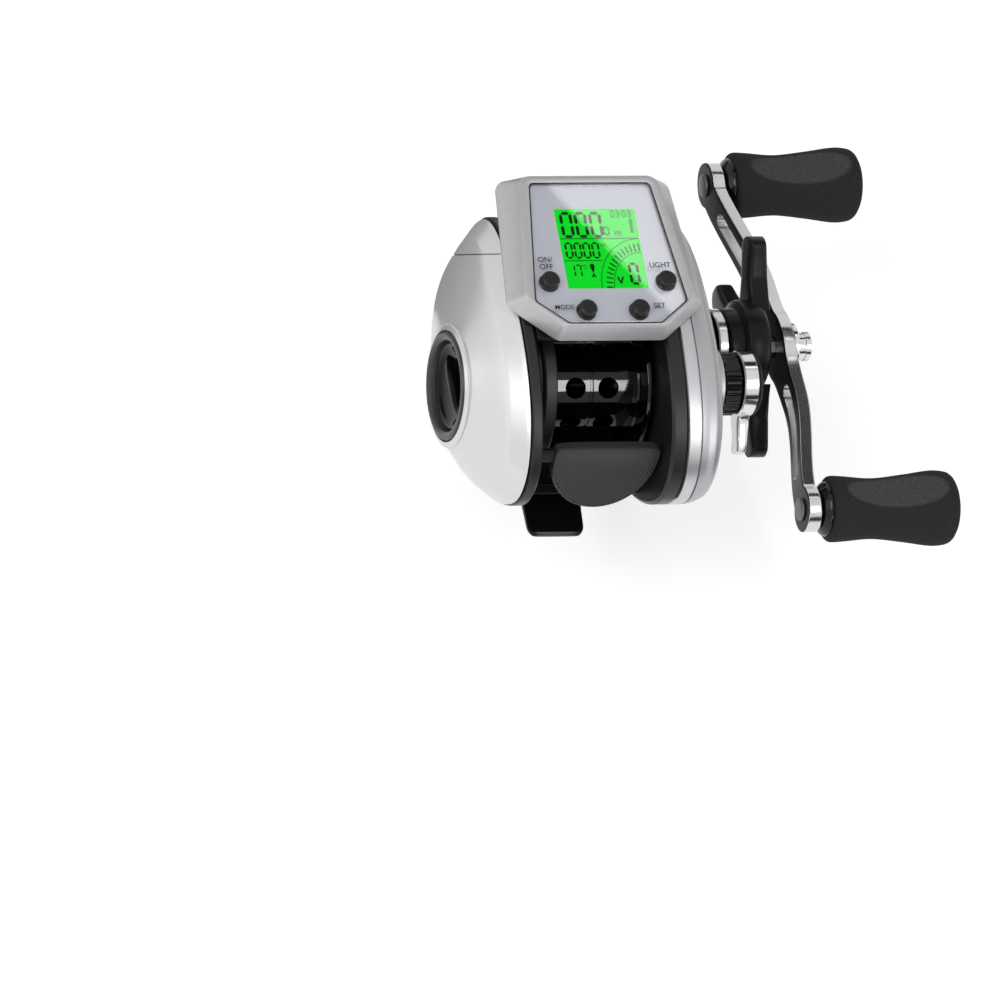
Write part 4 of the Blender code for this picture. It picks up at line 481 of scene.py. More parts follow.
face = span("dial_bezel")[0]
profile = [
    (face + 4.0, BEZEL_RADIUS), (face + 0.7, BEZEL_RADIUS), (face + 0.15, 12.45), (face, 11.9),
    (face + 0.1, 11.3), (face + 0.6, 10.7), (face + 1.5, 10.45), (face + 4.0, BEZEL_BORE),
]
ring_black = finish(
    "ring black", (0.045, 0.045, 0.048), (0.035, 0.035, 0.037), (0.25, 0.33), 0.05, Specular_IOR_Level=0.3,
)
bezel = turned("dial_ring", profile, sides=128, loop=True)
dress(bezel, "reel_body", ring_black, replaces=["dial_bezel"])
rim = face + 1.7
dish = [(rim, DIAL_RADIUS), (rim + 0.2, 9.2), (rim + 0.9, 7.6), (rim + 1.35, 5.0), (rim + 1.5, 2.4)]
dish = smooth(dish + [(rim + 1.5, 0.0)], 6)
profile = np.vstack([[(rim + 2.2, DIAL_RADIUS), (rim + 0.3, 10.0)], dish])
black_gloss = finish(
    "dial black", (0.002, 0.002, 0.002), (0.003, 0.003, 0.003), (0.07, 0.11), 0.01, Specular_IOR_Level=0.12,
)
dress(turned("dial_dish", profile, sides=128), "brake_control", black_gloss, replaces=["brake_dial"])
along = np.linspace(-1, 1, 25)[:, None]
across, up = np.array([(-1, 0), (-0.9, 0.55), (-0.6, 0.9), (0, 1), (0.6, 0.9), (0.9, 0.55), (1, 0)]).T
height = GRIP_HEIGHT * (1 - 0.9 * np.abs(along) ** 4)
half = GRIP_HALF_WIDTH * (1 - 0.55 * along**2)
grid = np.stack(np.broadcast_arrays(rim + 1.3 - height * up, GRIP_REACH * along, half * across), -1)
dress(skin("dial_grip", grid, caps=("first", "last")), "brake_control", black_gloss)


# Gear side cover: cast aluminium, satin on the dome and brushed on the band beside the frame. A thin groove
# parts the two. The dome draws in to a round boss for the cast control. A second boss holds the drive shaft.
GEAR_START, BOSS_END = span("gear_cover")
GEAR_DEPTH = 12.4
GEAR_END = GEAR_START + GEAR_DEPTH
BOSS_RADIUS = 9.2
BOSS_BORE = 4.5
SHAFT_Y = 14.5
SHAFT_Z = -8.9
SHAFT_BOSS_START = 25.6
satin = finish(
    "satin aluminium", (0.42, 0.42, 0.435), (0.37, 0.37, 0.385), (0.34, 0.44), 0.05, Metallic=0.85,
)
brushed_band = finish(
    "brushed aluminium", (0.54, 0.54, 0.555), (0.45, 0.45, 0.465), (0.30, 0.42), 0.04, stretch=(9, 1, 1),
    Metallic=1.0,
)
dome = smooth(
    [
        (0.28, 0.997), (0.36, 0.993), (0.46, 0.978), (0.63, 0.925), (0.78, 0.79), (0.88, 0.58), (0.95, 0.32),
        (1.0, 0.12),
    ],
    5,
)
band = [(GEAR_START, 0.985, 0, 0), (GEAR_START + 0.3, 1.0, 0, 0), (GEAR_START + 0.24 * GEAR_DEPTH, 1.0, 0, 0)]
groove = [(GEAR_START + 0.25 * GEAR_DEPTH, 0.983, 0, 0), (GEAR_START + 0.27 * GEAR_DEPTH, 0.983, 0, 0)]
rows = band + groove
rows += [(GEAR_START + GEAR_DEPTH * depth, 1.0, 1 - reach, BOSS_RADIUS + 1.0) for depth, reach in dome]
rows += [(GEAR_END + 0.5, 1, 1, BOSS_RADIUS + 0.3), (GEAR_END + 1.4, 1, 1, BOSS_RADIUS)]
rows += [(BOSS_END - 1.0, 1, 1, BOSS_RADIUS), (BOSS_END - 0.3, 1, 1, BOSS_RADIUS - 0.3)]
rows += [(BOSS_END, 1, 1, BOSS_RADIUS - 1.0), (BOSS_END, 1, 1, BOSS_BORE), (BOSS_END - 4.5, 1, 1, BOSS_BORE)]
rows += [(GEAR_START + 9.0, 0.76, 0, 0), (GEAR_START + 5.5, 0.93, 0, 0), (GEAR_START, 0.955, 0, 0)]
bands = [1] * len(band) + [0] * (len(rows) - len(band))
cover = skin("gear_cover_shell", body_rows(rows), loop=True, bands=bands)
dress(cover, "reel_body", satin, brushed_band, replaces=["gear_cover"], slot="pearl_silver")
profile = [
    (SHAFT_BOSS_START, 8.8), (BOSS_END - 0.6, 8.8), (BOSS_END - 0.15, 8.6), (BOSS_END, 8.2), (BOSS_END, 6.8),
    (SHAFT_BOSS_START, 6.8),
]
dress(turned("shaft_boss", profile, SHAFT_Y, SHAFT_Z, loop=True), "reel_body", satin, slot="pearl_silver")


# Frame: one black anodised casting. Two side plates carry everything, the left one with a ring round the
# spool's rim, and a tray below and a bar in front hold them apart.
LEFT, RIGHT = span("frame")
GUARD = LEFT + 6.0
SPOOL_BORE = 17.5
SHAFT_BORE = 5.3
black_metal = finish(
    "black anodised", (0.010, 0.010, 0.011), (0.007, 0.007, 0.008), (0.26, 0.36), 0.05,
    Specular_IOR_Level=0.13,
)
frame_black = finish(
    "frame anodised", (0.012, 0.012, 0.013), (0.009, 0.009, 0.010), (0.30, 0.40), 0.05,
    Specular_IOR_Level=0.32,
)


def body_band(share, thickness, start, end, steps=40):
    """Side-view strip (y, z) that follows the body's outline between two turns, in degrees."""
    y, z = body_outline(np.radians(np.linspace(start, end, steps)))
    outline = np.stack([y, z], -1)
    inner = share - thickness / np.hypot(y, z)
    return np.concatenate([outline * share, (outline * inner[:, None])[::-1]])


def slab(name, outline, start_x, end_x):
    """Side-view outline (y, z) carried straight from one x to another."""
    outline = np.asarray(outline, float)
    ends = [np.column_stack([np.full(len(outline), x), outline]) for x in (start_x, end_x)]
    return skin(name, ends, caps=("first", "last"))


rows = [(LEFT, 0.985, 0, 0), (LEFT + 0.3, 1, 0, 0), (LEFT + 2.2, 1, 0, 0), (LEFT + 2.8, 0.975, 0, 0)]
rows += [(LEFT + 2.8, 1, 1, SPOOL_BORE), (LEFT, 1, 1, SPOOL_BORE)]
plate = skin("left_plate", body_rows(rows), loop=True)
dress(plate, "reel_body", frame_black, replaces=["frame"], slot="black_anodised")
profile = [
    (LEFT + 2.8, 18.8), (GUARD - 0.7, 18.8), (GUARD - 0.3, 18.95), (GUARD, 19.4), (GUARD, 19.9),
    (GUARD + 0.35, 20.2), (GUARD + 2.7, 20.2), (GUARD + 3.1, 19.95), (GUARD + 3.2, 19.6), (GUARD + 3.2, 17.9),
    (GUARD + 2.8, SPOOL_BORE), (LEFT + 2.8, SPOOL_BORE),
]
dress(turned("spool_guard", profile, sides=160, loop=True), "reel_body", frame_black, slot="black_anodised")
rows = [(RIGHT, 0.985, 0, 0), (RIGHT - 0.3, 1, 0, 0), (RIGHT - 3.1, 1, 0, 0), (RIGHT - 3.7, 0.975, 0, 0)]
rows += [(RIGHT - 3.7, 1, 1, 18.4), (RIGHT - 3.0, 1, 1, 17.7), (RIGHT - 3.0, 1, 1, SHAFT_BORE)]
rows += [(RIGHT, 1, 1, SHAFT_BORE)]
plate = skin("right_plate", body_rows(rows), loop=True)
dress(plate, "reel_body", frame_black, slot="black_anodised")
tray_strip = body_band(0.96, 2.4, -142, -33)
bar_strip = body_band(0.9, 2.6, 30, 48, 12)
for name, strip in (("frame_tray", tray_strip), ("front_bar", bar_strip)):
    piece = soften(slab(name, strip, LEFT + 2.7, RIGHT - 3.6), 0.35)
    dress(piece, "reel_body", black_metal, slot="black_anodised")


# Reel foot: a slim black casting that clamps under the rod's seat hood, thinner towards both tips, on a stem.
# It is fixed under the frame's tray.
FOOT_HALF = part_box("reel_foot")[1].y / MM
TIP_LENGTH = 2.4
STEM_ROWS = 12


def heights(name):
    """Lowest and highest place of a CAD node over the spool's axis, in mm."""
    return tuple(corner.z / MM - AXIS_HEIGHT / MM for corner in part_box(name))


def bar(name, centre, across, through, squareness=8, columns=40):
    """Bar along a path: centre + across * cos' + through * sin', where cos' and sin' draw a squared circle,
    as sign * |cos|^(2 / squareness) and sign * |sin|^(2 / squareness)."""
    turns = (np.arange(columns) + 0.5) * 2 * np.pi / columns
    wide = np.sign(np.cos(turns)) * np.abs(np.cos(turns)) ** (2 / squareness)
    thick = np.sign(np.sin(turns)) * np.abs(np.sin(turns)) ** (2 / squareness)
    centre, across, through = (np.asarray(rows, float)[:, None, :] for rows in (centre, across, through))
    return skin(name, centre + across * wide[:, None] + through * thick[:, None], caps=("first", "last"))


black_casting = finish(
    "black casting", (0.005, 0.005, 0.006), (0.003, 0.003, 0.004), (0.14, 0.22), 0.03,
    Specular_IOR_Level=0.15,
)
foot_bottom, foot_top = heights("reel_foot")
y = FOOT_HALF * np.sin(np.linspace(-np.pi / 2, np.pi / 2, 61))
tip = np.clip((FOOT_HALF - np.abs(y)) / TIP_LENGTH, 0, 1)
half_width = (6.9 + 0.8 * (1 - np.abs(y) / FOOT_HALF)) * (0.76 + 0.24 * np.sqrt(1 - (1 - tip) ** 2))
thickness = np.interp(np.abs(y), (0, 9, FOOT_HALF - 0.6, FOOT_HALF), (2.5, 2.5, 1.3, 0.9))
none = np.zeros_like(y)
foot = bar(
    "foot_plate",
    np.stack([none, y, foot_bottom + thickness / 2], -1),
    np.stack([half_width, none, none], -1),
    np.stack([none, none, thickness / 2], -1),
    squareness=7,
)
dress(foot, "reel_body", black_casting, replaces=["reel_foot"], slot="black_anodised")
z = np.linspace(foot_bottom + 1.8, foot_top, STEM_ROWS)
flare = 1 + 0.05 * np.cos(np.linspace(0, np.pi, STEM_ROWS))
none = np.zeros_like(z)
stem = bar(
    "foot_stem", np.stack([none, none, z], -1),
    np.stack([8.2 * flare, none, none], -1), np.stack([none, 11.4 * flare, none], -1), squareness=5,
)
dress(stem, "reel_body", black_metal, slot="black_anodised")


# Spool: turned aluminium with a gloss black finish. Its thin drum is drilled all round for lightness, with a
# fine groove in the middle, and two flanges hold the line.
SPOOL_SIDE = span("spool")[1]
FLANGE = heights("spool")[1]
HOLES = 8
HOLE_RADIUS = 2.5
HOLE_ROW = 4.05
HOLE_TURN = math.radians(32)
spool_black = finish(
    "spool black", (0.001, 0.001, 0.001), (0.002, 0.002, 0.002), (0.05, 0.10), 0.01, stretch=(12, 1, 1),
    Specular_IOR_Level=0.3,
)


def cut(piece, tool, operation="DIFFERENCE"):
    """Boolean with a tool piece, applied at once; the tool is then removed."""
    step = piece.modifiers.new("cut", "BOOLEAN")
    step.operation = operation
    step.solver = "EXACT"
    step.object = tool
    bpy.context.view_layer.update()
    graph = bpy.context.evaluated_depsgraph_get()
    mesh = bpy.data.meshes.new_from_object(piece.evaluated_get(graph))
    piece.modifiers.clear()
    piece.data = mesh
    mesh.shade_smooth()
    mesh.set_sharp_from_angle(angle=CREASE)
    bpy.data.objects.remove(tool, do_unlink=True)
    return piece


half = [
    (0.0, 11.35), (0.25, 11.35), (0.4, DRUM_RADIUS), (11.3, DRUM_RADIUS), (11.7, 11.9), (11.8, 12.5),
    (11.8, 16.1), (12.0, 16.6), (12.4, FLANGE), (12.9, FLANGE), (SPOOL_SIDE, 16.5), (SPOOL_SIDE, 11.1),
    (12.9, 10.6), (12.5, 10.4), (0.8, 10.4), (0.8, 3.0), (6.5, 3.0), (6.5, 1.6),
]
profile = half + [(-x, radius) for x, radius in half[:0:-1]]
spool = turned("spool_drum", profile, sides=128, loop=True)
drills = bmesh.new()
for side in (-1, 1):
    for hole in range(HOLES):
        turn = Matrix.Rotation(2 * math.pi * hole / HOLES + HOLE_TURN, 4, "X")
        place = Matrix.Translation(AXIS) @ turn @ Matrix.Translation((side * HOLE_ROW * MM, 0, 11.0 * MM))
        bmesh.ops.create_cone(
            drills, cap_ends=True, segments=32, radius1=HOLE_RADIUS * MM, radius2=HOLE_RADIUS * MM,
            depth=3.2 * MM, matrix=place,
        )
mesh = bpy.data.meshes.new("drills")
drills.to_mesh(mesh)
drills.free()
spool = soften(cut(spool, new_object("drills", mesh)), 0.14)
dress(spool, "spool_unit", spool_black, replaces=["spool"], slot="gloss_black")


# Spool shaft, bearings, drive gears and brake: steel and brass parts with lathe marks, a carbon drag washer
# and plain black mouldings. The covers hide nearly all of them.
steel = finish(
    "polished steel", (0.68, 0.68, 0.69), (0.58, 0.58, 0.59), (0.10, 0.20), 0.03, stretch=(10, 1, 1),
    Metallic=1.0,
)
brass = finish("brass", (0.72, 0.52, 0.20), (0.62, 0.44, 0.17), (0.2, 0.32), 0.05, Metallic=1.0)
carbon = finish("carbon washer", (0.05, 0.05, 0.05), (0.03, 0.03, 0.03), (0.5, 0.65), 0.4, grain=1400)
black_mould = finish(
    "black moulding", (0.014, 0.014, 0.015), (0.010, 0.010, 0.011), (0.38, 0.5), 0.25, grain=1800,
    Specular_IOR_Level=0.22,
)


def coat(material, *names):
    """Give CAD pieces that stay as they are a finish of their own."""
    for name in names:
        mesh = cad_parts[name].data
        mesh.materials.clear()
        mesh.materials.append(material)


coat(steel, "spool_shaft", "left_spool_bearing", "right_spool_bearing", "one_way_bearing", "drag_plate")
coat(steel, "guide_rod", "magnet_ring", "drive_shaft", "coin_cell")
coat(brass, "drive_gear", "pinion_gear", "lay_drive_gear", "worm_gear")
coat(carbon, "drag_washer")
coat(black_mould, "brake_housing", "display_pedestal")


# Level wind: a steel worm with two grooves that cross, one each way, and a plain journal at each end. It
# drives a sliding guide with a ceramic ring. Each groove's depth is a half cosine of its distance.
WORM_Y = 27.5
WORM_Z = -8.9
WORM_START, WORM_END = span("level_wind_worm")
THREAD_HALF = 11.0
THREAD_TURNS = 4
THREAD_RADIUS = 2.6
GROOVE_DEPTH = 0.8
GROOVE_SHARE = 0.16
JOURNAL_RADIUS = 1.5
x = np.linspace(-THREAD_HALF, THREAD_HALF, 240)[:, None]
turn = np.arange(96) / 96
advance = THREAD_TURNS * (x + THREAD_HALF) / (2 * THREAD_HALF)
trough = [np.abs(phase - np.round(phase)) / GROOVE_SHARE for phase in (advance - turn, advance + turn)]
depth = [np.where(away < 1, 0.5 + 0.5 * np.cos(np.pi * np.minimum(away, 1)), 0) for away in trough]
turns = 2 * np.pi * turn
thread = axle_rings(x, THREAD_RADIUS - GROOVE_DEPTH * np.maximum(*depth), turns, WORM_Y, WORM_Z)
journals = []
for end, way in ((WORM_START, -1), (WORM_END, 1)):
    profile = [(end, JOURNAL_RADIUS), (12.3 * way, JOURNAL_RADIUS), (12.3 * way, 2.4)]
    profile = np.array(profile + [(12.1 * way, THREAD_RADIUS)])[::-way]
    journals.append(axle_rings(profile[:, :1], profile[:, 1:], turns, WORM_Y, WORM_Z))
worm = skin("worm_screw", np.concatenate([journals[0], thread, journals[1]]), caps=("first", "last"))
dress(worm, "worm_unit", steel, replaces=["level_wind_worm"], slot="polished_steel")
coat(black_mould, "line_guide")
ceramic = finish("ceramic", (0.80, 0.80, 0.76), (0.72, 0.72, 0.68), (0.12, 0.2), 0.03, Coat_Weight=0.4)
coat(ceramic, "line_guide_eye")


# Thumb bar: a soft-edged black moulding behind the spool. Its lower half is dimpled for grip, inside a fine
# rim, and a lug at each side slides in the frame.
PAD_TOP = np.array([0.3, -21.4, 12.0])
PAD_LEAN = math.radians(20.6)
PAD_HALF_WIDTH = 13.1
PAD_HEIGHT = 18.2
PAD_MIDDLE = 0.42
PAD_THICKNESS = 2.6
DIMPLE_PITCH = 0.85
DIMPLE_DEPTH = 0.22
DIMPLES_END = 0.0375
DIMPLES_FULL = 0.0345
DOWN = np.array([0, -math.sin(PAD_LEAN), -math.cos(PAD_LEAN)])
OUT = np.array([0, -math.cos(PAD_LEAN), math.sin(PAD_LEAN)])
turns = np.arange(144) * 2 * np.pi / 144
c, s = np.cos(turns), np.sin(turns)
wide = np.where(s > 0, c, np.sign(c) * np.abs(c) ** 0.4)
low = np.where(s > 0, 0.12 + 0.88 * np.abs(s) ** 0.9, 0.12 - 0.12 * np.abs(s) ** 0.4)
pad_section = [
    (0.0, 1.0), (0.5, 1.0), (0.78, 0.995), (0.93, 0.985), (0.985, 0.97), (1.0, 0.955), (0.99, 0.942),
    (0.965, 0.938), (0.97, 0.92), (0.96, 0.85), (0.91, 0.7), (0.85, 0.5), (0.81, 0.3), (0.8, 0.1),
    (0.8, 0.01),
]
rows = []
for height, share in pad_section:
    across = np.outer(PAD_HALF_WIDTH * wide * share, (1, 0, 0))
    drop = np.outer(PAD_HEIGHT * (PAD_MIDDLE + (low - PAD_MIDDLE) * share), DOWN)
    rows.append(PAD_TOP + across + drop + OUT * PAD_THICKNESS * height)
thumb_black = finish(
    "thumb bar moulding", (0.030, 0.030, 0.032), (0.026, 0.026, 0.028), (0.36, 0.46), 0.1,
    Specular_IOR_Level=0.25,
)
tree = thumb_black.node_tree
coordinates = new_node(tree, "ShaderNodeTexCoord")
turned_to_face = new_node(
    tree, "ShaderNodeMapping", Vector=coordinates.outputs["Object"],
    Rotation=(-(math.pi / 2 - PAD_LEAN), 0, math.radians(45)),
)
dots = new_node(
    tree, "ShaderNodeTexVoronoi", mode=("voronoi_dimensions", "2D"),
    Vector=turned_to_face.outputs["Vector"], Scale=1 / (DIMPLE_PITCH * MM), Randomness=0,
)
dimple = new_node(tree, "ShaderNodeMapRange", Value=dots.outputs["Distance"], From_Min=0.18, From_Max=0.42)
apart = new_node(tree, "ShaderNodeSeparateXYZ", Vector=coordinates.outputs["Object"])
lower = new_node(
    tree, "ShaderNodeMapRange", Value=apart.outputs["Z"], From_Min=DIMPLES_END, From_Max=DIMPLES_FULL,
)
height = new_node(
    tree, "ShaderNodeMath", dimple.outputs["Result"], lower.outputs["Result"], mode=("operation", "MULTIPLY"),
)
relief = new_node(tree, "ShaderNodeBump", Distance=DIMPLE_DEPTH * MM, Height=height.outputs[0])
wire(tree, tree.nodes["Principled BSDF"], Normal=relief.outputs["Normal"])
pad = skin("thumb_pad", rows, caps=("first", "last"))
dress(pad, "clutch_bar", thumb_black, replaces=["thumb_bar"], slot="black_moulding")
for side, end_x in zip((-1, 1), span("thumb_bar")):
    start_x = PAD_TOP[0] + side * 11.1
    places = [PAD_TOP * (0, 1, 1) + DOWN * 2.9 + OUT * 1.25 + (x, 0, 0) for x in (start_x, end_x)]
    lug = bar("thumb_lug", places, [DOWN * 1.7] * 2, [OUT * 0.7] * 2, squareness=6, columns=24)
    dress(lug, "clutch_bar", black_metal, slot="black_moulding")


# Hood: the shell over the level wind, bent to the body's outline, pearl in front and black under the display.
# It is fixed to the frame's plates, and the pedestal on it carries the display.
hood_start, hood_end = span("front_hood")
hood = soften(slab("hood_shell", body_band(1.0, 1.5, 14, 55), hood_start, hood_end), 0.3)
dress(hood, "reel_body", pearl, replaces=["front_hood"], slot="pearl_silver")
roof = soften(slab("hood_roof", body_band(1.0, 1.5, 55, 95, 24), hood_start, hood_end), 0.3)
dress(roof, "reel_body", black_metal, slot="black_anodised")


# Display housing: a painted plastic frame with six sides that flares out downwards, round a recess for the
# window. Each plan below is three corners of one half, as (y, half of the width).
LOWER_PLAN = ((39.5, 21.3), (6.4, 24.1), (-2.5, 13.2))
TOP_PLAN = ((38.5, 17.2), (6.2, 21.3), (-1.5, 12.7))
WINDOW_PLAN = ((36.2, 14.7), (5.4, 18.6), (-0.4, 11.3))
BASE, LID = heights("display_housing")
CASE_CORNER = 3.0
WINDOW_CORNER = 1.4


def head_outline(plan, radius, inset=0.0, steps=8):
    """Plan-view outline (x, y) of six corners, drawn in by an inset; each corner is an arc of the radius."""
    corners = np.array([(-half, y) for y, half in plan] + [(half, y) for y, half in plan[::-1]], float)
    arcs = []
    for i, corner in enumerate(corners):
        before = corners[i - 1] - corner
        after = corners[(i + 1) % len(corners)] - corner
        before, after = before / np.hypot(*before), after / np.hypot(*after)
        inward = (before + after) / np.hypot(*(before + after))
        half_angle = math.acos(np.clip(before @ after, -1, 1)) / 2
        centre = corner + inward * (inset + radius) / math.sin(half_angle)
        outward_turn = math.atan2(-inward[1], -inward[0])
        turns = outward_turn + (math.pi / 2 - half_angle) * np.linspace(-1, 1, steps)
        arcs.append(centre + radius * np.stack([np.cos(turns), np.sin(turns)], -1))
    return np.concatenate(arcs)


def level(outline, z):
    """A plan-view outline (x, y) at a height."""
    return np.column_stack([outline, np.full(len(outline), z)])


case_rings = [
    (LOWER_PLAN, CASE_CORNER, 0.25, BASE), (LOWER_PLAN, CASE_CORNER, 0.0, BASE + 0.25),
    (LOWER_PLAN, CASE_CORNER, 0.0, BASE + 0.7), (TOP_PLAN, CASE_CORNER, 0.0, LID - 0.8),
    (TOP_PLAN, CASE_CORNER, 0.1, LID - 0.4), (TOP_PLAN, CASE_CORNER, 0.32, LID - 0.12),
    (TOP_PLAN, CASE_CORNER, 0.7, LID), (WINDOW_PLAN, WINDOW_CORNER, -0.55, LID),
    (WINDOW_PLAN, WINDOW_CORNER, -0.3, LID - 0.15), (WINDOW_PLAN, WINDOW_CORNER, -0.3, LID - 1.2),
    (WINDOW_PLAN, WINDOW_CORNER, 0.8, LID - 1.2), (WINDOW_PLAN, WINDOW_CORNER, 0.8, LID - 2.0),
    (TOP_PLAN, WINDOW_CORNER, 1.6, LID - 2.0), (LOWER_PLAN, WINDOW_CORNER, 1.6, BASE),
]
grid = [level(head_outline(plan, radius, inset), z) for plan, radius, inset, z in case_rings]
display_paint = finish(
    "display paint", (0.50, 0.50, 0.51), (0.44, 0.44, 0.45), (0.32, 0.42), 0.18, mottle=400, grain=5200,
    Metallic=0.5,
)
housing = skin("display_case", grid, loop=True)
dress(housing, "reel_body", display_paint, replaces=["display_housing"], slot="display_grey")


# Window: a thin clear acrylic plate in a black rubber seal, let into the housing, with four button holes. It
# is drawn as a faint mirror, clear to look through. A silver print lies on a sheet under it.
BUTTONS = (
    ("power_button", "power_key", -14.4, 10.4), ("select_button", "select_key", -6.5, 2.9),
    ("set_button", "set_key", 6.5, 2.9), ("light_button", "light_key", 14.4, 10.4),
)
BUTTON_HOLE = 2.45
SCREEN_LEFT, SCREEN_RIGHT, SCREEN_BOTTOM, SCREEN_TOP = -9.75, 10.15, 8.9, 29.9


def upright(name, profile, x, y, sides=48, **how):
    """Piece turned about a vertical axis, from rows of (z, radius)."""
    profile = np.asarray(profile, float)
    turns = np.arange(sides) * 2 * np.pi / sides
    z, radius = profile[:, :1], profile[:, 1:]
    grid = np.broadcast_arrays(x + radius * np.cos(turns), y + radius * np.sin(turns), z)
    return skin(name, np.stack(grid, -1), **how)


def plate_between(name, outline, bottom, top):
    """Flat plate with a plan-view outline (x, y), from one height to another."""
    return skin(name, [level(outline, bottom), level(outline, top)], caps=("first", "last"))


def button_holes(piece):
    """Drill a piece for the four buttons."""
    for name, body, x, y in BUTTONS:
        profile = [(LID - 5, BUTTON_HOLE), (LID + 2, BUTTON_HOLE)]
        cut(piece, upright("drill", profile, x, y, 40, caps=("first", "last")))
    return piece


acrylic = plain_material(
    "clear acrylic", Base_Color=(1.0, 1.0, 1.0, 1), Roughness=0.01, Metallic=1.0, Alpha=0.05,
)
lens = plate_between("window_lens", head_outline(WINDOW_PLAN, WINDOW_CORNER), LID - 0.86, LID)
dress(soften(button_holes(lens), 0.12), "reel_body", acrylic, replaces=["display_window"], slot="window")
seal_rings = [(-0.29, LID - 1.15), (-0.29, LID - 0.1), (-0.02, LID - 0.1), (-0.02, LID - 1.15)]
grid = [level(head_outline(WINDOW_PLAN, WINDOW_CORNER, inset), z) for inset, z in seal_rings]
dress(skin("window_seal", grid, loop=True), "reel_body", black_mould)
silver_print = finish(
    "silver print", (0.60, 0.61, 0.68), (0.57, 0.58, 0.65), (0.34, 0.4), 0.02, mottle=900, grain=6000,
    Metallic=0.4,
)
sheet = plate_between("window_print", head_outline(WINDOW_PLAN, WINDOW_CORNER, -0.1), LID - 0.98, LID - 0.9)
opening = [
    (SCREEN_LEFT, SCREEN_BOTTOM), (SCREEN_RIGHT, SCREEN_BOTTOM), (SCREEN_RIGHT, SCREEN_TOP),
    (SCREEN_LEFT, SCREEN_TOP),
]
cut(sheet, plate_between("opening", opening, LID - 2, LID))
dress(button_holes(sheet), "reel_body", silver_print)


# Screen: a backlit green display with dark segments: three counters, a clock, a battery stack and a speed
# gauge. The marks are flat plates just over the screen, placed in mm from its top left corner.
SCREEN_FACE = heights("lcd_screen")[1]
ALL_ROUND = "abcdef"
GAUGE_CORNER = np.array((19.7, 20.9))
GAUGE_MARKS = 14
ARC_STEPS = 24
lcd_green = finish(
    "lcd green", (0.001, 0.42, 0.012), (0.001, 0.40, 0.010), (0.3, 0.4), 0.0, grain=100,
    Emission_Color=(0.001, 0.80, 0.02, 1), Emission_Strength=0.5, Specular_IOR_Level=0.1,
)
lcd_dark = finish(
    "lcd segments", (0.001, 0.016, 0.002), (0.001, 0.012, 0.002), (0.4, 0.5), 0.0, Specular_IOR_Level=0.1,
)
coat(lcd_green, "lcd_screen")
segments = []


def on_screen(places):
    """Places (x, y) from the screen's top left corner, as places on the reel's plan."""
    return np.array([(SCREEN_LEFT + x, SCREEN_TOP - y) for x, y in places])


def stroke(points, half):
    """Add a straight mark between two places on the screen, pointed at its ends, of a half width."""
    start, end = on_screen(points)
    way = (end - start) / np.hypot(*(end - start))
    side = np.array((-way[1], way[0])) * half
    tip = way * half
    segments.append([start, start + tip + side, end - tip + side, end, end - tip - side, start + tip - side])


def figure(x, y, width, height, lit, half):
    """Add a seven-segment figure with its top left corner at (x, y). Letters name the lit segments."""
    gap = half * 0.5
    right, middle, low = x + width, y + height / 2, y + height
    places = {
        "a": ((x, y), (right, y)), "b": ((right, y), (right, middle)), "c": ((right, middle), (right, low)),
        "d": ((x, low), (right, low)), "e": ((x, middle), (x, low)), "f": ((x, y), (x, middle)),
        "g": ((x, middle), (right, middle)),
    }
    for letter in lit:
        (x0, y0), (x1, y1) = places[letter]
        dx, dy = (gap, 0) if y0 == y1 else (0, gap)
        stroke(((x0 + dx, y0 + dy), (x1 - dx, y1 - dy)), half)


def on_gauge(degrees, across, up, share=1.0):
    """Place on the gauge's arc: its corner - (across * cos turn, up * sin turn) * share."""
    turn = math.radians(degrees)
    return GAUGE_CORNER + np.array((-math.cos(turn) * across, -math.sin(turn) * up)) * share


for place in range(3):
    figure(1.5 + 3.6 * place, 1.0, 2.35, 6.1, ALL_ROUND, 0.38)
figure(11.6, 4.7, 1.1, 2.0, ALL_ROUND, 0.16)
stroke(((10.7, 6.75), (11.1, 6.75)), 0.2)
for place, lit in enumerate((ALL_ROUND, "abcdg", ALL_ROUND, "abcdg")):
    figure(14.0 + 1.2 * place + (0.45 if place > 1 else 0), 0.4, 0.75, 1.6, lit, 0.13)
for y in (0.85, 1.55):
    stroke(((16.2, y), (16.45, y)), 0.1)
for mark in range(8):
    stroke(((18.1, 2.8 + 0.46 * mark), (19.1 - 0.03 * mark, 2.8 + 0.46 * mark)), 0.15)
stroke(((0.3, 7.7), (19.4, 7.7)), 0.09)
for place in range(4):
    figure(1.3 + 2.2 * place, 8.9, 1.45, 3.8, ALL_ROUND, 0.25)
stroke(((0.4, 13.5), (9.9, 13.5)), 0.09)
figure(1.6, 14.7, 0.9, 3.0, "bc", 0.18)
figure(2.9, 14.7, 1.2, 3.0, "abc", 0.18)
figure(16.1, 14.4, 1.9, 5.2, ALL_ROUND, 0.34)
stroke(((12.7, 17.7), (13.4, 19.6)), 0.21)
stroke(((14.1, 17.7), (13.4, 19.6)), 0.21)
for mark in range(GAUGE_MARKS):
    degrees = 2 + 86 * mark / (GAUGE_MARKS - 1)
    stroke([on_gauge(degrees, 11.0, 12.9, share) for share in (0.76, 0.92)], 0.18)
for step in range(ARC_STEPS):
    ends = [90 * (step + more) / ARC_STEPS for more in (-0.05, 1.05)]
    stroke([on_gauge(degrees, 11.2, 13.1) for degrees in ends], 0.08)
    stroke([on_gauge(degrees, 8.1, 9.5) for degrees in ends], 0.07)
t = np.linspace(0, 2 * math.pi, 17)[:-1]
fish = np.column_stack([7.0 + 0.62 * np.sin(t) * (1.1 + np.cos(t)) / 1.5, 15.6 - 1.35 * np.cos(t)])
segments.append(on_screen(fish))
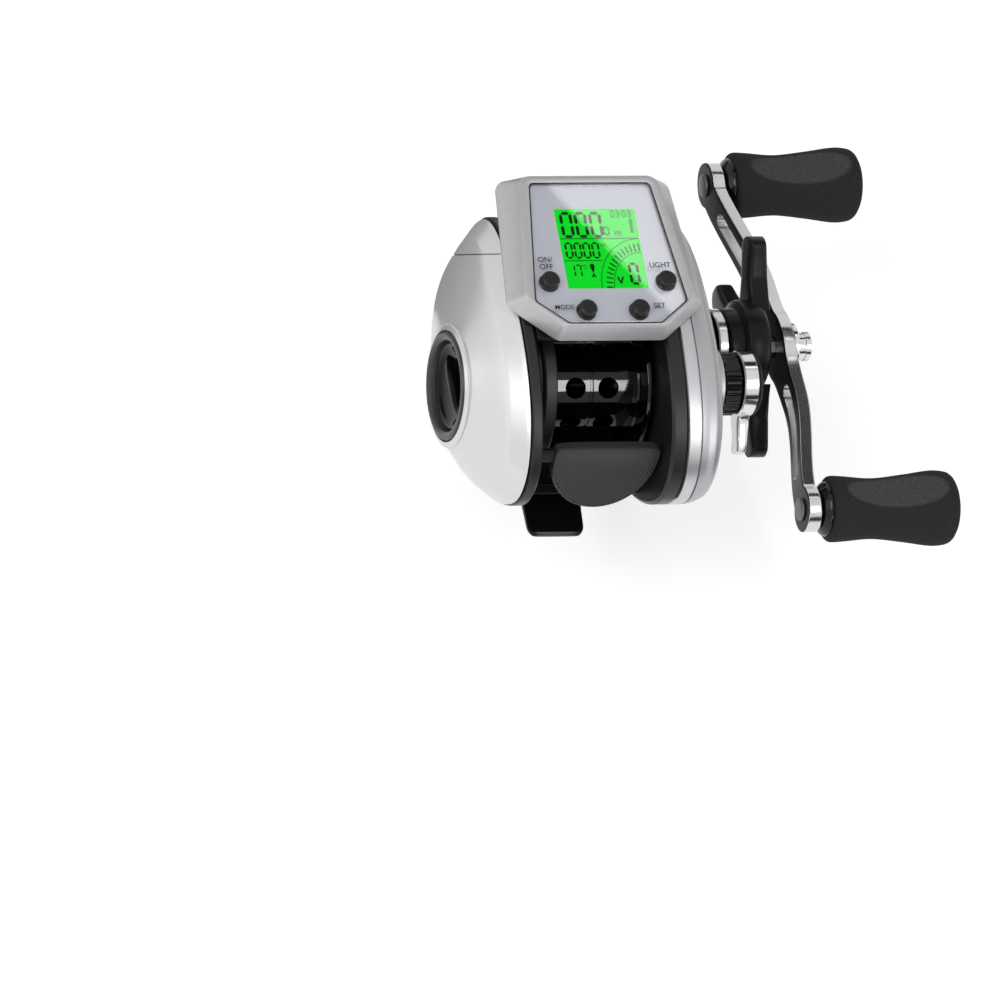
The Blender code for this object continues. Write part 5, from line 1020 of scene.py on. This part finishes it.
segments.append(on_screen(((7.0, 16.7), (7.7, 18.0), (7.0, 17.7), (6.3, 18.0))))


def flat_marks(name, shapes, z, thickness=0.02):
    """One mesh of thin flat plates, each a plan-view shape (x, y), standing on height z."""
    points, faces = [], []
    for shape in shapes:
        first, count = len(points), len(shape)
        points += level(shape, z).tolist() + level(shape, z + thickness).tolist()
        here = first + np.arange(count)
        after = first + (np.arange(count) + 1) % count
        faces += [here.tolist(), (here + count).tolist()]
        faces += np.stack([here, after, after + count, here + count], -1).tolist()
    mesh = bpy.data.meshes.new(name)
    mesh.from_pydata((np.array(points) * MM + (0, 0, AXIS_HEIGHT)).tolist(), [], faces)
    return settle(name, mesh, merge=False)


dress(flat_marks("lcd_segments", segments, SCREEN_FACE + 0.01), "reel_body", lcd_dark)


def words(name, z, lines, material):
    """Flat lettering at a height, from rows of (text, x, y, size), made one mesh. x is the text's middle."""
    bm = bmesh.new()
    for text, x, y, size in lines:
        curve = bpy.data.curves.new(name, "FONT")
        curve.body = text
        curve.size = size * MM
        curve.align_x = "CENTER"
        curve.extrude = 0.006 * MM
        curve.offset = 0.004 * size * MM
        writing = new_object(name, curve)
        bpy.context.view_layer.update()
        mesh = bpy.data.meshes.new_from_object(writing.evaluated_get(bpy.context.evaluated_depsgraph_get()))
        mesh.transform(Matrix.Translation((x * MM, y * MM, AXIS_HEIGHT + z * MM)))
        bm.from_mesh(mesh)
        bpy.data.objects.remove(writing, do_unlink=True)
    mesh = bpy.data.meshes.new(name)
    bm.to_mesh(mesh)
    bm.free()
    return dress(new_object(name, mesh), "reel_body", material)


units = [("m", (14.9, 6.85), 2.3), ("m", (10.7, 9.8), 1.6), ("°C", (5.0, 15.6), 1.4)]
units = [(text, *on_screen([place])[0], size) for text, place, size in units]
words("lcd_letters", SCREEN_FACE + 0.02, units, lcd_dark)
ink = finish("label ink", (0.01, 0.01, 0.012), (0.008, 0.008, 0.01), (0.5, 0.6), 0.0, Specular_IOR_Level=0.1)
labels = [
    ("ON/", -14.6, 15.5, 1.95), ("OFF", -14.6, 13.6, 1.95), ("MODE", -12.0, 3.0, 1.7),
    ("SET", 11.5, 3.2, 1.95), ("LIGHT", 13.5, 13.9, 1.9),
]
words("button_labels", LID + 0.01, labels, ink)


# Buttons: four charcoal plungers with bevelled tops, moulded, which slide in the window's holes. The circuit
# board and the coin cell under them are hidden in the housing.
key_black = finish(
    "key moulding", (0.013, 0.013, 0.014), (0.010, 0.010, 0.011), (0.3, 0.42), 0.08, Specular_IOR_Level=0.25,
)
for name, body, x, y in BUTTONS:
    bottom, top = heights(name)
    profile = [(bottom, 2.2), (top - 0.45, 2.2), (top - 0.3, 2.12), (top - 0.1, 1.82)]
    profile += [(top, radius) for radius in (1.7, 1.0, 0.02)]
    key = upright(name + "_cap", profile, x, y, caps=("first", "last"))
    dress(key, body, key_black, replaces=[name], slot="gloss_black")
board = finish("circuit board", (0.02, 0.16, 0.06), (0.015, 0.12, 0.045), (0.35, 0.45), 0.05)
coat(board, "circuit_board")


# Drag outside the cover: a black collar on the drive shaft, a bright click plate, and the star wheel that
# sets the drag, a black casting with a stepped hub and four blunt finger arms.
HUB_START = span("star_drag")[0]
HUB_END = HUB_START + 9.7
HUB_RADIUS = 11.0
HUB_BORE = 2.9
ARM_START = 8.8
ARM_REACH = 17.0
ARM_X = HUB_END - 0.9
ARM_TURNS = (29.5, -33, -92, 207)
coat(black_metal, "drag_collar")
bright_band = finish(
    "turned aluminium", (0.62, 0.62, 0.635), (0.52, 0.52, 0.535), (0.14, 0.24), 0.04, stretch=(9, 1, 1),
    Metallic=1.0,
)
start, end = span("click_plate")
profile = [(start, 3.4), (start, 8.7), (start + 0.3, 9.0), (end - 0.3, 9.0), (end, 8.7), (end, 3.4)]
click_ring = turned("click_ring", profile, SHAFT_Y, SHAFT_Z, loop=True)
dress(click_ring, "handle", bright_band, replaces=["click_plate"])
star_black = finish(
    "star casting", (0.008, 0.008, 0.009), (0.006, 0.006, 0.007), (0.24, 0.34), 0.08, Specular_IOR_Level=0.13,
)
profile = [
    (HUB_START, HUB_BORE), (HUB_START, 8.7), (HUB_START + 0.3, 9.0), (HUB_START + 2.6, 9.0),
    (HUB_START + 3.1, 9.2), (HUB_START + 3.5, 10.0), (HUB_START + 3.9, 10.8), (HUB_START + 4.4, HUB_RADIUS),
    (HUB_END - 1.5, HUB_RADIUS), (HUB_END - 0.8, 10.7), (HUB_END - 0.3, 10.0), (HUB_END, 7.0),
    (HUB_END, HUB_BORE),
]
hub = turned("star_hub", profile, SHAFT_Y, SHAFT_Z, sides=128, loop=True)
dress(hub, "star_wheel", star_black, replaces=["star_drag"], slot="black_anodised")
share = np.sin(np.linspace(0, np.pi / 2, 40))
left = np.clip((1.0 - share) / 0.13, 0.012, 1)
half_width = np.interp(share, (0, 0.2, 0.45, 0.7, 0.86, 1.0), (5.2, 3.9, 2.9, 3.2, 3.6, 3.55))
half_width = half_width * np.sqrt(left * (2 - left))
half_depth = 2.6 * (1 - 0.25 * share**3)


def around(degrees):
    """Directions across an axle along x, at a turn from the front: outward, and sideways to that."""
    turn = math.radians(degrees)
    return np.array((0, math.cos(turn), math.sin(turn))), np.array((0, -math.sin(turn), math.cos(turn)))


for number, degrees in enumerate(ARM_TURNS):
    outward, sideways = around(degrees)
    centre = np.outer(ARM_START + ARM_REACH * share, outward) + (ARM_X, SHAFT_Y, SHAFT_Z)
    across = np.outer(half_width, sideways)
    through = np.outer(half_depth, (1, 0, 0))
    arm = bar("star_arm_" + str(number), centre, across, through, squareness=5, columns=56)
    dress(arm, "star_wheel", star_black, slot="black_anodised")


# Crank: a bar of black anodised aluminium, bowed towards the reel at both ends. Its edges and its two long
# windows are cut bright, and a nut with a domed cap holds it.
CRANK_TURN = -11.6
CRANK_HALF = 49.3
CRANK_END = 5.4
CRANK_THICKNESS = 3.2
CRANK_INNER_FACE = 54.6
CRANK_X = CRANK_INNER_FACE + CRANK_THICKNESS / 2
CRANK_BOW = 4.9
BOW_START = 16
CRANK_ROWS = 161
WINDOW_NEAR = 13.9
WINDOW_FAR = 38.1
WINDOW_HALF = 1.9
NUT_BORE = 2.6
PIN_BORE = 2.2
lengthwise, crosswise = around(CRANK_TURN)
place = (CRANK_HALF + CRANK_END) * np.sin(np.linspace(-np.pi / 2, np.pi / 2, CRANK_ROWS)) * 0.9999
away = np.abs(place)
arm_curve = smooth(
    [(0, 7.0), (3.85, 6.5), (7.0, 5.35), (12, 4.75), (22, 4.4), (33.5, 4.2), (CRANK_HALF, 3.96)], 8,
)
arm_half = np.interp(away, arm_curve[:, 0], arm_curve[:, 1])
end_half = np.sqrt(np.maximum(CRANK_END**2 - (away - CRANK_HALF) ** 2, 0.0004))
half_width = np.where(away < CRANK_HALF, np.maximum(arm_half, end_half), end_half)
swing = np.clip((away - BOW_START) / (CRANK_HALF - BOW_START), 0, 1)
centre = np.outer(place, lengthwise) + (0, SHAFT_Y, SHAFT_Z)
centre[:, 0] += CRANK_X - CRANK_BOW * swing**2 * (3 - 2 * swing)
half_thickness = np.full(CRANK_ROWS, CRANK_THICKNESS / 2)
crank = bar(
    "crank_bar", centre, np.outer(half_width, crosswise), np.outer(half_thickness, (1, 0, 0)),
    squareness=14, columns=56,
)
arc = np.linspace(np.pi / 2, -np.pi / 2, 14)
bulge = WINDOW_HALF * np.cos(arc)
along = np.concatenate([WINDOW_FAR + bulge, WINDOW_NEAR - bulge[::-1]])
over = WINDOW_HALF * np.concatenate([np.sin(arc), np.sin(arc)[::-1]])
for side in (-1, 1):
    window = np.outer(side * along, lengthwise) + np.outer(over, crosswise) + (0, SHAFT_Y, SHAFT_Z)
    cut(crank, skin("window_tool", [window + (48, 0, 0), window + (59, 0, 0)], caps=("first", "last")))
pins = [tuple(way * CRANK_HALF * lengthwise[1:] + (SHAFT_Y, SHAFT_Z)) for way in (1, -1)]
for (y, z), radius in zip([(SHAFT_Y, SHAFT_Z)] + pins, (NUT_BORE, PIN_BORE, PIN_BORE)):
    cut(crank, turned("drill", [(48, radius), (60, radius)], y, z, sides=40, caps=("first", "last")))
normals = np.empty(len(crank.data.polygons) * 3)
crank.data.polygons.foreach_get("normal", normals)
crank.data.polygons.foreach_set("material_index", (np.abs(normals[::3]) < 0.5).astype(int))
soften(crank, 0.15, 2)
dress(crank, "handle", black_metal, bright_band, replaces=["crank_arm"], slot="black_anodised")
start, end = span("handle_nut")
profile = [
    (start, 2.7), (start, 5.4), (start + 0.25, 5.6), (start + 1.15, 5.6), (start + 1.4, 5.3),
    (start + 1.45, 3.2), (end - 1.5, 3.2), (end - 1.4, 3.45), (end - 0.3, 3.5), (end, 3.2), (end, 1.6),
    (end - 0.5, 1.3), (end - 0.5, 0.02),
]
nut = turned("nut_shell", profile, SHAFT_Y, SHAFT_Z, caps=("last",))
dress(nut, "handle", steel, replaces=["handle_nut"], slot="polished_steel")


# Knobs: a riveted pin through each end of the crank, a gloss collar, and a turned grip of closed-cell foam.
# Two long flats are pressed into the grip's waist, and their paler colour is a painted highlight.
GRIP_SIDES = 128
PIN_RADIUS = 1.9
COLLAR_BORE = 2.2
PRESS_DEPTH = 0.2
PRESS_EDGE = 0.3
FLAT_TURNS = (80, 260)
foam_dark = (0.034, 0.034, 0.036)
# Painted highlight: the flats' paler foam colour stands in for the light falling on them
foam_flat_sheen = (0.105, 0.105, 0.108)
foam = finish(
    "grip foam", foam_dark, (0.006, 0.006, 0.007), (0.85, 0.95), 1.0, mottle=3200, grain=2600,
    Specular_IOR_Level=0.15,
)
tree = foam.node_tree
# The flats' mask mixes in the paler colour, a painted highlight on them
painted_flat_sheen = new_node(tree, "ShaderNodeAttribute", mode=("attribute_name", "painted_flat_sheen"))
foam_colour = new_node(
    tree, "ShaderNodeMix", mode=("data_type", "RGBA"),
    Factor=painted_flat_sheen.outputs["Fac"], A=(*foam_dark, 1), B=(*foam_flat_sheen, 1),
)
wire(tree, tree.nodes["Group"], Colour=foam_colour.outputs["Result"])
pin_grey = finish("rivet head", (0.16, 0.16, 0.17), (0.11, 0.11, 0.12), (0.35, 0.45), 0.1, Metallic=0.8)
collar_black = finish(
    "collar black", (0.003, 0.003, 0.003), (0.004, 0.004, 0.004), (0.08, 0.14), 0.02, Specular_IOR_Level=0.3,
)
waist = [(0.0, 6.5), (0.012, 7.35), (0.04, 7.75), (0.14, 7.6), (0.36, 7.1), (0.6, 7.85), (0.82, 8.78)]
waist = smooth(waist + [(0.93, 8.62), (0.975, 8.0), (1.0, 6.9)], 8)
turns = np.arange(GRIP_SIDES) * 2 * np.pi / GRIP_SIDES
press = PRESS_DEPTH * np.sin(np.pi * np.clip((waist[:, :1] - 0.1) / 0.82, 0, 1)) ** 0.8
radius = np.repeat(waist[:, 1:], GRIP_SIDES, axis=1)
for degrees in FLAT_TURNS:
    toward = np.maximum(np.cos(turns - math.radians(degrees)), 0.2)
    radius = np.minimum(radius, waist[:, 1:] * (1 - press) / toward)
for side, (y, z) in zip(("front", "rear"), pins):
    start, end = span(side + "_knob_pin")
    profile = [
        (start, 0.02), (start, PIN_RADIUS), (start + 0.12, 2.45), (start + 0.3, 2.65), (start + 0.5, 2.7),
        (start + 0.5, PIN_RADIUS), (end, PIN_RADIUS),
    ]
    pin = turned(side + "_pin", profile, y, z, sides=48, caps=("first", "last"))
    dress(pin, "handle", pin_grey, replaces=[side + "_knob_pin"], slot="polished_steel")
    start, end = span(side + "_knob_collar")
    profile = [
        (start, COLLAR_BORE), (start, 4.6), (start + 0.3, 4.95), (end - 0.9, 6.0), (end - 0.5, 6.3),
        (end - 0.1, 6.4), (end, 6.2), (end, COLLAR_BORE),
    ]
    collar = turned(side + "_collar", profile, y, z, loop=True)
    dress(collar, side + "_knob", collar_black, replaces=[side + "_knob_collar"], slot="gloss_black")
    start, end = span(side + "_knob_grip")
    length = end - start
    bore = axle_rings([[start]], COLLAR_BORE, turns, y, z)
    outside = axle_rings(start + length * waist[:, :1], radius, turns, y, z)
    end_face = axle_rings(end, np.array([[5.0], [3.0], [1.0], [0.02]]), turns, y, z)
    grip = skin(side + "_grip", np.concatenate([bore, outside, end_face]), caps=("last",))
    # Mark the flats, where the foam is painted paler as a painted highlight
    places = np.empty(len(grip.data.vertices) * 3)
    grip.data.vertices.foreach_get("co", places)
    places = places.reshape(-1, 3) / MM - (0, y, z + AXIS_HEIGHT / MM)
    uncut = np.interp(places[:, 0], start + length * waist[:, 0], waist[:, 1])
    sunk = np.clip((uncut - np.hypot(places[:, 1], places[:, 2])) / PRESS_EDGE, 0, 1)
    sunk[(places[:, 0] < start + 0.08 * length) | (places[:, 0] > start + 0.95 * length)] = 0
    grip.data.attributes.new("painted_flat_sheen", "FLOAT", "POINT").data.foreach_set("value", sunk)
    dress(grip, side + "_knob", foam, replaces=[side + "_knob_grip"], slot="foam")


# Cast control on the spool's axis: a deeply ribbed black cap, a polished ring with a finger lever, and a
# black end cap. The three turn as one on the cover's boss.
CAP_SIDES = 240
RIBS = 20
TAB_TURN = 214
TAB_START = 5.0
TAB_REACH = 11.5
start, end = BOSS_END + 0.3, span("tension_cap")[1]
turns = np.arange(CAP_SIDES) * 2 * np.pi / CAP_SIDES
ribs = (0.5 + 0.5 * np.cos(RIBS * turns)) ** 1.6
cap_profile = np.array([
    (start, 6.3, 0.0), (start + 0.25, 6.7, 0.3), (start + 0.6, 7.4, 0.8),
    (end - 0.6, 7.4, 0.8), (end - 0.2, 7.1, 0.5), (end, 6.6, 0.0),
])
grid = axle_rings(cap_profile[:, :1], cap_profile[:, 1:2] - cap_profile[:, 2:] * ribs, turns)
cap = skin("ribbed_cap", grid, caps=("first", "last"))
dress(cap, "cast_control", collar_black, replaces=["tension_cap"], slot="black_anodised")
start, end = span("cast_control_lever")
profile = [(start, 4.0), (start, 7.4), (start + 0.3, 7.7), (end - 0.3, 7.7), (end, 7.4), (end, 4.0)]
ring = turned("lever_ring", profile, loop=True)
dress(ring, "cast_control", steel, replaces=["cast_control_lever"], slot="polished_steel")
outward, sideways = around(TAB_TURN)
share = np.linspace(0, 1, 30)
half_width = np.interp(share, (0, 0.25, 0.6, 1.0), (4.2, 2.9, 2.2, 2.5))
half_width = half_width * np.sqrt(np.clip((1 - share) / 0.07, 0.03, 1))
curl = np.outer(0.35 * np.sin(2 * np.pi * share), sideways)
centre = np.outer(TAB_START + TAB_REACH * share, outward) + curl
centre[:, 0] = (start + end) / 2 - 0.5 * share**2
half_depth = np.interp(share, (0, 0.4, 1.0), (1.5, 1.5, 1.1))
tab = bar("lever_tab", centre, np.outer(half_width, sideways), np.outer(half_depth, (1, 0, 0)), squareness=6)
dress(tab, "cast_control", steel, slot="polished_steel")
start, end = span("tension_end_cap")
profile = [(start, 7.0), (start + 0.2, 7.2), (start + 0.5, 7.2), (end - 0.1, 6.5)]
profile += [(end, 6.0), (end, 3.0), (end - 0.2, 2.6), (end - 0.2, 0.02)]
end_cap = turned("cap_face", profile, caps=("first", "last"))
dress(end_cap, "cast_control", black_mould, replaces=["tension_end_cap"], slot="black_anodised")
